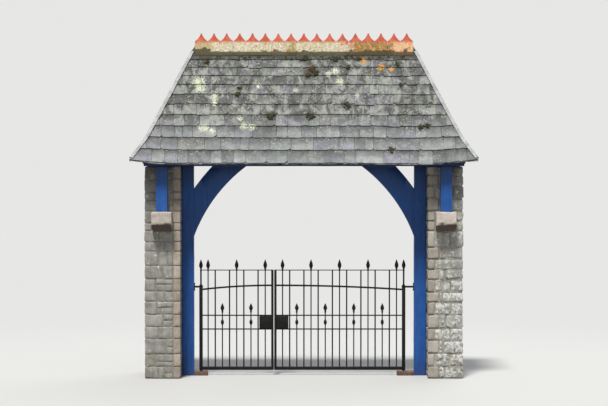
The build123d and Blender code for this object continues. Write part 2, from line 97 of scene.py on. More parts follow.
class Shader:
    """A node tree, with short calls for the nodes used here; base is the colour so far."""

    def __init__(self, name, kind="materials"):
        self.data = getattr(bpy.data, kind).new(name)
        self.data.use_nodes = True
        self.nodes = self.data.node_tree.nodes
        self.links = self.data.node_tree.links
        self.place = self.make("TexCoord", "Object")
        self.base = None

    def put(self, socket, value):
        if isinstance(value, Value):
            self.links.new(value.socket, socket)
        else:
            socket.default_value = (*value, 1.0) if socket.type == "RGBA" else value

    def make(self, kind, output, inputs=None, **settings):
        """A new node with its settings and inputs, as the Value of one of its outputs."""
        node = self.nodes.new("ShaderNode" + kind)
        for name, setting in settings.items():
            setattr(node, name, setting)
        for key, value in (inputs or {}).items():
            self.put(node.inputs[key], value)
        return Value(self, node.outputs[output])

    def math(self, operation, first, second=0.0):
        return self.make("Math", 0, {0: first, 1: second}, operation=operation)

    def mix(self, share, first, second, blend="MIX"):
        return self.make("Mix", 2, {0: share, 6: first, 7: second}, data_type="RGBA", blend_type=blend)

    def noise(self, scale, detail=4.0, rough=0.6, source=None, distortion=0.0):
        inputs = {"Vector": source or self.place, "Scale": scale, "Detail": detail, "Roughness": rough,
                  "Distortion": distortion}
        return self.make("TexNoise", "Fac", inputs)

    def ramp(self, value, *stops):
        """Colours between stops; each stop is a place and a colour, or a place and a grey."""
        node = self.nodes.new("ShaderNodeValToRGB")
        self.put(node.inputs["Fac"], value)
        points = node.color_ramp.elements
        while len(points) < len(stops):
            points.new(1.0)
        for point, (at, colour) in zip(points, stops):
            point.position = at
        for point, (at, colour) in zip(points, stops):
            point.color = (*colour, 1.0) if isinstance(colour, tuple) else (colour,) * 3 + (1.0,)
        return Value(self, node.outputs["Color"])

    def attribute(self, name):
        return self.make("Attribute", "Fac", attribute_name=name)

    def part(self, axis):
        return self.make("SeparateXYZ", axis, {0: self.place})

    def mapped(self, scale, source=None, shift=(0.0, 0.0, 0.0)):
        inputs = {"Vector": source or self.place, "Scale": scale, "Location": shift}
        return self.make("Mapping", "Vector", inputs)

    def own_place(self, *reaches, scale=(1.0, 1.0, 1.0)):
        """The place, shifted by each piece's tint, so that the pattern differs from piece to piece."""
        tint = self.attribute("tint")
        shift = self.make("CombineXYZ", 0, {axis: tint * reach for axis, reach in enumerate(reaches)})
        return self.mapped(scale, shift=shift)

    def worn_edge(self, size):
        """1 at convex edges, 0 on flats, from the Bevel node's turned normal."""
        turned = self.make("Bevel", "Normal", {"Radius": size}, samples=4)
        normal = self.make("NewGeometry", "Normal")
        alike = self.make("VectorMath", "Value", {0: turned, 1: normal}, operation="DOT_PRODUCT")
        return alike.fit(0.995, 0.9)

    def coat(self, share, colour, blend="MIX"):
        """Lays a colour over the base where share is above 0."""
        self.base = self.mix(share, self.base, colour, blend)

    def vary(self, value, *stops):
        """Multiplies the base by a ramp of greys."""
        self.coat(1.0, self.ramp(value, *stops), "MULTIPLY")

    def finish(self, roughness, height, strength, distance, specular=0.5):
        """Links the base, a roughness and a bump from height to the surface."""
        bump = self.make("Bump", "Normal", {"Height": height, "Strength": strength, "Distance": distance})
        surface = self.nodes["Principled BSDF"]
        for name, value in (("Base Color", self.base), ("Roughness", roughness), ("Normal", bump),
                            ("Specular IOR Level", specular)):
            self.put(surface.inputs[name], value)
        return self.data


# Materials
def slate_material():
    """Riven slate: each slate its own grey, pale towards its butt, and dark under the next course
    with stain and painted shadow; mottled with crusts, greenish white and orange growth and dark moss."""
    s = Shader("slate")
    own = s.own_place(37.0, 61.0, 83.0)
    low = s.part("Z").fit(3.15, 2.85)
    tone = s.ramp(s.attribute("tint"), (0.0, (0.040, 0.042, 0.040)), (0.14, (0.145, 0.152, 0.148)),
                  (0.28, (0.072, 0.074, 0.070)), (0.42, (0.150, 0.142, 0.170)),
                  (0.55, (0.100, 0.110, 0.098)), (0.68, (0.200, 0.208, 0.195)),
                  (0.8, (0.088, 0.086, 0.096)), (0.9, (0.225, 0.232, 0.224)),
                  (1.0, (0.118, 0.112, 0.098)))
    s.base = s.mix(low * 0.35, tone, (0.116, 0.123, 0.129))
    cloud = s.noise(11.0, 5.0, 0.62, own)
    s.vary(cloud, (0.3, 0.62), (0.5, 1.0), (0.72, 1.45))

    # Pale towards the butt; dark towards the next course, partly stain and partly painted shadow cast by that
    # course's butt; up is 0 at the butt and 1 under it
    ragged = s.attribute("up") + s.noise(9.0) * 0.7
    s.coat(ragged.fit(1.05, 0.60) * (low * 0.62 + 0.18), (1.76, 1.80, 1.87), "MULTIPLY")
    # Painted shadow of the next course's butt, over a darker stain
    s.coat(ragged.fit(1.00, 1.35) * (low * 0.34 + 0.36), (0.26, 0.26, 0.24), "MULTIPLY")

    # Grime and a pale film that cross the slates, most of it high up
    high = 1.0 - low * 0.75
    broad = s.noise(11.0, 5.0, 0.64, s.mapped((1.0, 1.0, 0.6)), 0.6)
    s.coat(broad.fit(0.485, 0.42) * high * 0.88, (0.040, 0.040, 0.032))
    s.coat(broad.fit(0.53, 0.61) * high * 0.72, (0.300, 0.320, 0.265))

    # Small crusts, round ones, and the dark line under the ridge tiles, which is moss and a painted shadow of
    # the tiles
    crust = s.noise(46.0, 4.0, 0.66, own).fit(0.54, 0.63) * s.noise(4.0, 3.0, 0.5).fit(0.36, 0.62)
    s.coat(crust * 0.75, (0.37, 0.385, 0.34))
    spot = s.make("TexVoronoi", "Distance", {"Vector": own, "Scale": 21.0}).fit(0.22, 0.12)
    s.coat(spot * s.noise(9.0, 2.0, 0.5, own).fit(0.55, 0.62) * 0.7, (0.42, 0.44, 0.40))
    tile_shadow_and_moss = s.part("Z") + s.noise(14.0) * 0.09
    s.coat(tile_shadow_and_moss.fit(3.735, 3.780) * 0.94, (0.030, 0.031, 0.022))

    # Growth in the spots that the slates carry as attributes
    patch = s.noise(64.0, 4.0, 0.72)
    greenish = s.ramp(s.noise(38.0, 3.0), (0.36, (0.34, 0.38, 0.26)), (0.52, (0.60, 0.64, 0.46)),
                      (0.64, (0.70, 0.72, 0.60)))
    for name, colour, cover in (("cream", greenish, 0.85), ("orange", (0.52, 0.25, 0.022), 0.95),
                                ("moss", (0.022, 0.022, 0.009), 0.95)):
        reach = s.attribute(name) + (patch - 0.5) * 2.6
        s.coat(reach.fit(0.5, 0.75) * cover, colour)

    riven = s.noise(1.0, 6.0, 0.6, s.mapped((26.0, 26.0, 9.0), own), 0.4)
    height = riven + s.noise(160.0, 3.0) * 0.25 + crust * 0.35
    return s.finish(cloud.fit(0.2, 0.9, 0.62, 0.9), height, 0.55, 0.004)


def moss_material():
    """Dark cushions of moss, some of them reddish brown."""
    s = Shader("moss")
    s.base = s.ramp(s.noise(60.0, 4.0, 0.7), (0.3, (0.010, 0.011, 0.004)), (0.55, (0.034, 0.032, 0.009)),
                    (0.75, (0.085, 0.072, 0.020)))
    s.coat(s.attribute("tint").fit(0.55, 1.0), (0.070, 0.028, 0.010))
    return s.finish(0.95, s.noise(240.0, 4.0, 0.7), 0.9, 0.006)


def rubble_material(name, tones, streaks, crust, blotch):
    """Weathered rubble: a tone for each stone, grain, run-down streaks, pale crusts and painted shade under
    the eaves.
    """
    s = Shader(name)
    z = s.part("Z")
    own = s.own_place(53.0, 29.0, 71.0)
    s.base = s.ramp(s.attribute("tint"), *[(i / (len(tones) - 1), tone) for i, tone in enumerate(tones)])
    cloud = s.noise(13.0, 5.0, 0.62, own)
    s.vary(cloud, (0.3, 0.70), (0.5, 1.0), (0.7, 1.3))
    s.vary(s.noise(90.0, 3.0, 0.7, own), (0.35, 0.74), (0.55, 1.0), (0.7, 1.22))
    run = s.noise(1.0, source=s.mapped((15.0, 15.0, 0.9))).fit(0.50, 0.68)
    s.coat(run * streaks, (0.120, 0.108, 0.078))

    # Green at the foot; painted shade under the eaves, brown and then dark
    s.coat(z.fit(0.55, 0.0) * s.noise(7.0).fit(0.42, 0.68) * 0.5, (0.13, 0.135, 0.075))
    s.coat(z.fit(2.00, 2.45) * s.noise(6.0).fit(0.30, 0.62) * 0.55, (0.115, 0.095, 0.065))
    # Painted shade, darkest right under the eaves
    s.coat(z.fit(2.18, 2.46, 0.0, 0.40), (0.045, 0.042, 0.035))
    s.coat(s.noise(4.5, 5.0, 0.65).fit(0.56, 0.76) * 0.4, (0.125, 0.112, 0.09))

    # White crusts and dark blotches, which blotch makes stronger on the lower part
    lower = z.fit(1.35, 0.95)
    patch = s.noise(24.0, 5.0, 0.68) + s.noise(5.0, 2.0, 0.5) * 0.25
    white = (patch + (lower * blotch + crust)).fit(0.70, 0.76)
    s.coat(white * 0.88, (0.66, 0.665, 0.63))
    dark = (s.noise(21.0, 4.0, 0.66) - lower * blotch).fit(0.36, 0.30)
    s.coat(dark * (lower * (8.0 * blotch)), (0.085, 0.085, 0.065))
    height = s.noise(130.0, 4.0, 0.7) * 0.35 + s.noise(22.0, 5.0)
    return s.finish(cloud.fit(0.2, 0.9, 0.8, 0.95), height, 0.7, 0.006)


def mortar_material(name, light, dark):
    """Sandy lime mortar with a little moss."""
    s = Shader(name)
    cloud = s.noise(16.0, 5.0, 0.65)
    s.base = s.ramp(cloud, (0.3, dark), (0.6, light))
    sand = s.noise(260.0, 3.0, 0.7)
    s.vary(sand, (0.35, 0.75), (0.6, 1.15))
    s.coat(s.noise(6.0).fit(0.6, 0.74) * 0.5, (0.10, 0.11, 0.06))
    return s.finish(0.95, sand + cloud * 1.5, 0.7, 0.004)


def dressed_material(name, light, dark, under):
    """Dressed stone: tooled, warm cream with brown stains, and painted shade on its underside."""
    s = Shader(name)
    cloud = s.noise(9.0, 5.0)
    s.base = s.ramp(cloud, (0.3, dark), (0.65, light))
    s.vary(s.attribute("tint"), (0.0, 0.85), (1.0, 1.14))
    speck = s.noise(120.0, 3.0, 0.7)
    s.vary(speck, (0.3, 0.75), (0.65, 1.15))
    s.coat(s.noise(6.0, 5.0, 0.65).fit(0.55, 0.75) * 0.5, tuple(0.45 * c for c in light))
    s.coat(s.noise(36.0, 4.0, 0.7).fit(0.6, 0.66) * 0.5, (0.55, 0.53, 0.48))
    # Painted shade on faces that turn downwards, in the colour under
    facing_up = s.make("SeparateXYZ", "Z", {0: s.make("NewGeometry", "Normal")})
    s.coat((facing_up + s.noise(26.0) * 0.5).fit(0.22, -0.12) * 0.9, under)
    return s.finish(0.9, speck + cloud * 1.2, 0.6, 0.005)


def paint_material():
    """Blue gloss paint on timber: grain telegraphing through, worn arrises, dirt low down
    and painted shade under the eaves, over the tops of the posts and on the plates."""
    s = Shader("blue_paint")
    z = s.part("Z")
    grain = s.noise(1.0, 5.0, 0.65, s.mapped((55.0, 55.0, 2.6)), 0.3)
    cloud = s.noise(3.5)
    s.base = s.ramp(cloud, (0.3, (0.011, 0.072, 0.280)), (0.5, (0.015, 0.090, 0.340)),
                    (0.7, (0.023, 0.115, 0.410)))
    s.vary(grain, (0.35, 0.8), (0.55, 1.0), (0.7, 1.12))
    s.coat(s.noise(18.0, 5.0, 0.7).fit(0.56, 0.72) * 0.16, (0.10, 0.18, 0.38))
    s.coat(s.worn_edge(0.006) * s.noise(30.0, 4.0, 0.7).fit(0.50, 0.62), (0.16, 0.15, 0.13))
    s.coat(z.fit(0.22, 0.0) * s.noise(24.0).fit(0.3, 0.7) * 0.6, (0.045, 0.045, 0.035))
    crack = s.noise(1.0, 3.0, 0.5, s.mapped((85.0, 85.0, 1.6)), 0.2).fit(0.33, 0.28)
    s.coat(crack * 0.6, (0.006, 0.014, 0.05))
    # Painted shade under the eaves, darkest at the plates
    s.coat(z.fit(2.05, 2.45) * cloud.fit(0.3, 0.6, 0.5, 1.0) * 0.45, (0.012, 0.020, 0.038))
    s.coat(z.fit(2.36, 2.50, 0.0, 0.55), (0.008, 0.010, 0.015))
    return s.finish(cloud.fit(0.3, 0.7, 0.36, 0.52), grain - crack * 1.4, 0.35, 0.003, specular=0.35)


SAWN_LIGHT = (0.135, 0.090, 0.055)
SAWN_DARK = (0.055, 0.036, 0.022)


def sawn_material(name, along):
    """Bare timber, dark with age, the grain along one axis."""
    s = Shader(name)
    scale = [3.0 if axis == along else 48.0 for axis in range(3)]
    grain = s.noise(1.0, 5.0, 0.65, s.own_place(17.0, 23.0, 31.0, scale=scale), 0.5)
    s.base = s.ramp(grain, (0.3, SAWN_DARK), (0.55, SAWN_LIGHT), (0.75, tuple(1.35 * c for c in SAWN_LIGHT)))
    s.vary(s.attribute("tint"), (0.0, 0.7), (1.0, 1.25))
    s.coat(s.noise(5.0).fit(0.5, 0.75) * 0.5, tuple(0.5 * c for c in SAWN_DARK))
    return s.finish(0.85, grain, 0.5, 0.003)


def terracotta_material():
    """Red clay ridge tiles: bare points, bodies grown over with cream, ochre and green."""
    s = Shader("terracotta")
    x, z = s.part("X"), s.part("Z")
    s.base = s.ramp(s.noise(14.0, 5.0), (0.3, (0.42, 0.078, 0.042)), (0.5, (0.60, 0.128, 0.070)),
                    (0.7, (0.67, 0.195, 0.115)))
    speck = s.noise(110.0, 3.0, 0.7)
    s.vary(speck, (0.3, 0.78), (0.65, 1.14))
    s.coat(s.noise(48.0, 5.0, 0.75).fit(0.58, 0.70) * 0.55, (0.12, 0.045, 0.028))

    # Cream growth below the points, olive at the left end and apricot at the right end
    body = z.fit(3.942, 3.902)
    left_end, right_end, right_of = x.fit(-1.02, -1.14), x.fit(1.00, 1.08), x.fit(0.70, 0.42)
    share = right_of + right_end * 0.8
    cream = (s.noise(21.0, 5.0, 0.70) + share * 0.24).fit(0.585, 0.66) * body
    tone = s.ramp(s.noise(45.0, 4.0, 0.65), (0.32, (0.33, 0.34, 0.17)), (0.48, (0.52, 0.50, 0.34)),
                  (0.62, (0.72, 0.70, 0.56)))
    tone = s.mix(left_end * 0.7, tone, (0.40, 0.31, 0.13))
    s.coat(cream * 0.92, s.mix(right_end * 0.7, tone, (0.74, 0.43, 0.20)))

    # Ochre growth on the front, in one spot near the middle and over the right part
    near = s.math("ABSOLUTE", x + 0.14).fit(0.10, 0.02) + (1.0 - right_of - right_end) * 1.15
    ochre = (s.noise(16.0, 5.0, 0.7) + near * 0.20).fit(0.60, 0.68) * body
    ochre = ochre * (1.0 - s.part("Y").fit(0.0, 0.05))
    s.coat(ochre * 0.85, s.ramp(s.noise(34.0, 3.0), (0.35, (0.14, 0.145, 0.035)), (0.5, (0.27, 0.20, 0.055)),
                                (0.65, (0.56, 0.33, 0.12))))

    # Dark moss along the foot of the tiles, and at their very foot a band of painted shade where they sit on
    # the slates
    foot = z.fit(3.865, 3.80) - share * 0.35 + left_end * z.fit(3.885, 3.845)
    moss = (s.noise(13.0, 5.0, 0.68) + foot * 0.22).fit(0.60, 0.68) * body
    s.coat(s.math("MAXIMUM", moss, z.fit(3.816, 3.800)) * 0.9, (0.042, 0.038, 0.014))
    return s.finish(0.88, speck * 0.5 + cream * 0.8, 0.5, 0.003)


def iron_material():
    """Black paint over forged iron, with rust that grows stronger low down."""
    s = Shader("wrought_iron")
    s.base = s.ramp(s.noise(30.0), (0.3, (0.0045, 0.0045, 0.005)), (0.7, (0.013, 0.013, 0.014)))
    rust = s.noise(42.0, 5.0, 0.72).fit(0.60, 0.70)
    brown = s.ramp(s.noise(150.0, 3.0), (0.3, (0.07, 0.022, 0.008)), (0.7, (0.17, 0.062, 0.022)))
    s.coat(rust * s.part("Z").fit(0.5, 0.05, 0.35, 1.0), brown)
    hammered = s.noise(75.0, 3.0, 0.5) + rust * 0.6
    return s.finish(rust * 0.45 + 0.42, hammered, 0.35, 0.002, specular=0.22)


SLATE = slate_material()
MOSS = moss_material()
LEFT_TONES = ((0.270, 0.262, 0.238), (0.325, 0.315, 0.280), (0.295, 0.280, 0.250),
              (0.340, 0.332, 0.300), (0.300, 0.295, 0.272), (0.355, 0.340, 0.305))
RIGHT_TONES = ((0.270, 0.265, 0.240), (0.420, 0.420, 0.390), (0.350, 0.340, 0.305),
               (0.470, 0.465, 0.430), (0.385, 0.365, 0.325), (0.440, 0.445, 0.420))
RUBBLE = {LEFT: rubble_material("rubble_left", LEFT_TONES, streaks=0.55, crust=-0.06, blotch=0.0),
          RIGHT: rubble_material("rubble_right", RIGHT_TONES, streaks=0.35, crust=0.02, blotch=0.085)}
MORTAR = {LEFT: mortar_material("mortar_left", (0.315, 0.300, 0.262), (0.190, 0.176, 0.148)),
          RIGHT: mortar_material("mortar_right", (0.400, 0.385, 0.345), (0.200, 0.190, 0.160))}
HIP_MORTAR = mortar_material("hip_mortar", (0.47, 0.47, 0.475), (0.27, 0.275, 0.27))
# The last colour of each dressed stone is the painted shade on its underside
QUOIN_UNDERSIDE_SHADE = (0.12, 0.10, 0.08)
QUOIN = {LEFT: dressed_material("quoin_left", (0.430, 0.375, 0.315), (0.325, 0.272, 0.222), QUOIN_UNDERSIDE_SHADE),
         RIGHT: dressed_material("quoin_right", (0.460, 0.420, 0.370), (0.330, 0.295, 0.250), QUOIN_UNDERSIDE_SHADE)}
CORBEL = dressed_material("corbel", (0.580, 0.520, 0.465), (0.430, 0.365, 0.320), (0.055, 0.026, 0.020))
HEEL = dressed_material("heel_stone", (0.20, 0.115, 0.085), (0.10, 0.055, 0.04), (0.06, 0.035, 0.025))
PAINT = paint_material()
GRAIN_X, GRAIN_Y, GRAIN_Z = [sawn_material("sawn_" + axis, along) for along, axis in enumerate("xyz")]
TERRACOTTA = terracotta_material()
IRON = iron_material()


# Mesh helpers
def add_object(name, data):
    thing = bpy.data.objects.new(name, data)
    bpy.context.scene.collection.objects.link(thing)
    return thing


def dress(name, mesh, material, slot, body="structure", replaces=(), smooth=35.0):
    """Makes a mesh a piece of the model; edges sharper than smooth degrees stay sharp."""
    piece = add_object(name, mesh)
    mesh.materials.clear()
    mesh.materials.append(material)
    mesh.shade_smooth()
    mesh.set_sharp_from_angle(angle=math.radians(smooth))
    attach(piece, body)
    if replaces:
        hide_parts(*replaces)


class Piece:
    """Gathers closed shapes into one mesh; each shape carries a value for its tint."""

    def __init__(self, name):
        self.name = name
        self.points = []
        self.faces = []
        self.values = {"tint": []}

    def add(self, points, faces, tint=0.5, **values):
        base = len(self.points)
        self.points.extend(points)
        self.faces.extend([[base + i for i in face] for face in faces])
        self.values["tint"].extend([tint] * len(points))
        for key, items in values.items():
            self.values.setdefault(key, [0.0] * base).extend(items)

    def finish(self, material, slot, **how):
        mesh = bpy.data.meshes.new(self.name)
        mesh.from_pydata(self.points, [], self.faces)
        for key, items in self.values.items():
            mesh.attributes.new(key, "FLOAT", "POINT").data.foreach_set("value", items)
        mesh.validate()
        work = bmesh.new()
        work.from_mesh(mesh)
        bmesh.ops.remove_doubles(work, verts=work.verts, dist=1e-6)
        bmesh.ops.dissolve_degenerate(work, edges=work.edges, dist=1e-6)
        bmesh.ops.recalc_face_normals(work, faces=work.faces)
        work.to_mesh(mesh)
        work.free()
        dress(self.name, mesh, material, slot, **how)


def within(value, low, high):
    return min(max(value, low), high)


def spread(low, high, radius, cell, crisp):
    """Places along one side of a block: close together at the rounded edges."""
    ends = [low + radius, high - radius]
    first, last = [low, low + 0.3 * radius], [high - 0.3 * radius, high]
    if crisp:
        first.append(ends[0])
        last.insert(0, ends[1])
        ends = [ends[0] + 0.004, ends[1] - 0.004]
    count = max(1, math.ceil((ends[1] - ends[0]) / cell))
    return first + [ends[0] + (ends[1] - ends[0]) * i / count for i in range(count + 1)] + last


def block(low, high, radius, cell, shape=None, crisp=False):
    """A block with rounded edges between two corners, as points and faces; a crisp one has
    flats that stay flat up to the rounding. shape moves each point."""
    radius = min(radius, 0.45 * min(h - l for l, h in zip(low, high)))
    sides = [spread(l, h, radius, cell, crisp) for l, h in zip(low, high)]
    counts = [len(side) - 1 for side in sides]
    index, points, faces = {}, [], []

    def corner(key):
        if key not in index:
            raw = Vector([side[i] for side, i in zip(sides, key)])
            core = Vector([within(raw[a], low[a] + radius, high[a] - radius) for a in range(3)])
            away = raw - core
            point = core + away.normalized() * radius if away.length > 1e-9 else raw
            index[key] = len(points)
            points.append(shape(point, away) if shape else point)
        return index[key]

    for axis in range(3):
        a, b = (axis + 1) % 3, (axis + 2) % 3
        for end in (0, counts[axis]):
            for i in range(counts[a]):
                for j in range(counts[b]):
                    square = []
                    for di, dj in ((0, 0), (1, 0), (1, 1), (0, 1)):
                        key = [0, 0, 0]
                        key[axis], key[a], key[b] = end, i + di, j + dj
                        square.append(corner(tuple(key)))
                    faces.append(square if end else square[::-1])
    return points, faces


def worn(rough, fineness, seed, warp=0.0, warp_size=4.0):
    """Shape for block(): moves points in and out by noise, and bends the outline by warp."""
    offset = Vector((seed * 7.31, seed * 3.17, seed * 5.53))

    def shape(point, away):
        moved = point.copy()
        if warp:
            moved += noise.noise_vector(point * warp_size + offset) * warp
        if away.length > 1e-9:
            moved += away.normalized() * (noise.noise(point * fineness + offset) - 0.35) * rough
        return moved
    return shape


def loft(sections):
    """A closed solid through sections that have the same number of points."""
    size = len(sections[0])
    points = [Vector(p) for section in sections for p in section]
    faces = []
    for ring in range(len(sections) - 1):
        for i in range(size):
            j = (i + 1) % size
            faces.append([ring * size + i, ring * size + j, (ring + 1) * size + j, (ring + 1) * size + i])
    faces.append(list(range(size))[::-1])
    faces.append([(len(sections) - 1) * size + i for i in range(size)])
    return points, faces


def lathe(profile, centre, sides, axis=2):
    """A turned shape about the X, Y or Z axis: profile is a list of (radius, place along it)."""
    order = ((2, 0, 1), (0, 2, 1), (0, 1, 2))[axis]
    rings = []
    for radius, along in profile:
        turns = [2 * math.pi * i / sides for i in range(sides)]
        ring = [(radius * math.cos(turn), radius * math.sin(turn), along) for turn in turns]
        rings.append([Vector(centre) + Vector([local[k] for k in order]) for local in ring])
    return loft(rings)


def stud(profile, face, side, centre, sides, axis=1):
    """A small turned head on a face: profile gives (radius, how far it stands out)."""
    return lathe([(radius, face + side * out) for radius, out in profile], centre, sides, axis)


def mirrored(profile):
    """A turned profile with its lower half added, the mirror of the upper one."""
    return [(radius, -height) for radius, height in profile[:0:-1]] + profile


def islands(work):
    """The groups of joined vertices in a bmesh."""
    left = set(work.verts)
    groups = []
    for start in work.verts:
        if start in left:
            left.remove(start)
            group = [start]
            for vert in group:
                for other in [edge.other_vert(vert) for edge in vert.link_edges]:
                    if other in left:
                        left.remove(other)
                        group.append(other)
            groups.append(group)
    return groups


def welded_copy(node):
    """A CAD node's mesh as a bmesh, with its points joined."""
    work = bmesh.new()
    work.from_mesh(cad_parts[node].data)
    bmesh.ops.remove_doubles(work, verts=work.verts, dist=1e-6)
    return work


def eased_node(node, name, bevel, segments, material, slot, change=None):
    """A piece from a CAD node's mesh with its edges eased, and its points moved by change."""
    work = welded_copy(node)
    bmesh.ops.dissolve_limit(work, angle_limit=math.radians(1.0), verts=work.verts, edges=work.edges)
    edges = [e for e in work.edges if len(e.link_faces) == 2 and e.calc_face_angle(0.0) > math.radians(28)]
    bmesh.ops.bevel(work, geom=edges, offset=bevel, segments=segments, profile=0.6,
                    affect="EDGES", clamp_overlap=True)
    bmesh.ops.triangulate(work, faces=[f for f in work.faces if len(f.verts) > 4])
    if change:
        change(work)
    mesh = bpy.data.meshes.new(name)
    work.to_mesh(mesh)
    work.free()
    dress(name, mesh, material, slot, replaces=[node])


# Camera and stage
CAMERA_PLACE = Vector((0.0, -26.45, 2.783))
CAMERA_AIM = Vector((0.0, 0.0, 2.03))
PALE = (0.80, 0.80, 0.79)
FLOOR_REACH = 150.0

camera = add_object("camera", bpy.data.cameras.new("camera"))
camera.data.lens = 133.0
camera.data.sensor_width = 36.0
camera.data.clip_end = 400.0
camera.location = CAMERA_PLACE
camera.rotation_euler = (CAMERA_AIM - CAMERA_PLACE).to_track_quat("-Z", "Y").to_euler()
bpy.context.scene.camera = camera
bpy.context.scene.view_settings.view_transform = "Standard"


def studio_world():
    """Soft sky light; the camera and reflections see the plain pale background instead."""
    w = Shader("world", "worlds")
    sky = w.nodes["Background"]
    w.put(sky.inputs["Color"], (0.92, 0.95, 1.0))
    w.put(sky.inputs["Strength"], 0.32)
    seen = w.make("Background", 0, {"Color": PALE, "Strength": 1.0})
    choose = w.math("MAXIMUM", w.make("LightPath", "Is Camera Ray"), w.make("LightPath", "Is Glossy Ray"))
    both = w.make("MixShader", 0, {0: choose, 1: Value(w, sky.outputs[0]), 2: seen})
    w.put(w.nodes["World Output"].inputs["Surface"], both)
    return w.data


def floor_material():
    """Pale floor that turns into the background colour far from the object."""
    s = Shader("floor")
    surface = s.nodes["Principled BSDF"]
    seen = s.make("LightPath", "Is Camera Ray")
    s.put(surface.inputs["Base Color"], s.mix(seen, (0.30, 0.30, 0.29), (0.500, 0.500, 0.492)))
    s.put(surface.inputs["Roughness"], 0.9)
    far = s.make("VectorMath", "Value", {0: s.place}, operation="LENGTH").fit(3.0, 9.0)
    glow = s.make("Emission", 0, {"Color": PALE})
    both = s.make("MixShader", 0, {0: far * seen, 1: Value(s, surface.outputs[0]), 2: glow})
    s.put(s.nodes["Material Output"].inputs["Surface"], both)
    return s.data


def sun(name, azimuth, elevation, strength, softness, colour):
    """A soft lamp; azimuth is measured from the front towards the right."""
    data = bpy.data.lights.new(name, "SUN")
    data.energy = strength
    data.angle = math.radians(softness)
    data.color = colour
    a, e = math.radians(azimuth), math.radians(elevation)
    toward = Vector((math.sin(a) * math.cos(e), -math.cos(a) * math.cos(e), math.sin(e)))
    add_object(name, data).rotation_euler = toward.to_track_quat("Z", "Y").to_euler()


bpy.context.scene.world = studio_world()
floor_mesh = bpy.data.meshes.new("floor")
floor_corners = [(x * FLOOR_REACH, y * FLOOR_REACH, 0) for x, y in ((-1, -1), (1, -1), (1, 1), (-1, 1))]
floor_mesh.from_pydata(floor_corners, [], [(0, 1, 2, 3)])
floor_mesh.materials.append(floor_material())
floor = add_object("floor", floor_mesh)
floor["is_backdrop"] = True
sun("key", -14.0, 62.0, 4.1, 11.0, (1.0, 0.985, 0.955))
sun("fill", 40.0, 25.0, 0.12, 60.0, (1.0, 1.0, 1.0))
sun("back", 152.0, 38.0, 0.85, 50.0, (0.95, 0.97, 1.0))


# Rubble walls
WALL_LOW, WALL_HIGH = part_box("right_wall")
PASSAGE_FACE, OUTER_FACE = WALL_LOW.x, WALL_HIGH.x
WALL_END, WALL_TOP = WALL_HIGH.y, WALL_HIGH.z
CORBEL_LOW, CORBEL_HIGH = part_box("front_corbels")
CORBEL_HALF = 0.120
CORBEL_MIDDLE = (PASSAGE_FACE + OUTER_FACE) / 2
COURSE_RISE = 0.145
JOINT = 0.012
FACE_SINK = 0.003
CORE_SINK = 0.012
FACE_STONE = 0.068
END_STONE = 0.10
STONE_LENGTHS = (0.13, 0.30)
# Quoins at the passage and stones at the outer corners, by turns: even courses, odd courses
QUOIN_WIDTHS = {LEFT: (0.086, 0.086), RIGHT: (0.135, 0.086)}
QUOIN_DEPTHS = ((0.13, 0.17), (0.21, 0.27))
CORNER_WIDTHS = ((0.20, 0.25), (0.13, 0.17))
CORNER_DEPTHS = ((0.12, 0.18), (0.20, 0.28))


def course_levels(rng):
    """Levels of the beds, with beds at the foot and the top of the corbels."""
    stops = [0.0, CORBEL_LOW.z, CORBEL_HIGH.z, WALL_TOP - 0.002]
    levels = [0.0]
    for low, high in zip(stops, stops[1:]):
        count = max(1, round((high - low) / COURSE_RISE))
        steps = [rng.uniform(0.75, 1.3) for _ in range(count)]
        for step in steps[:-1]:
            levels.append(levels[-1] + step / sum(steps) * (high - low))
        levels.append(high)
    return levels


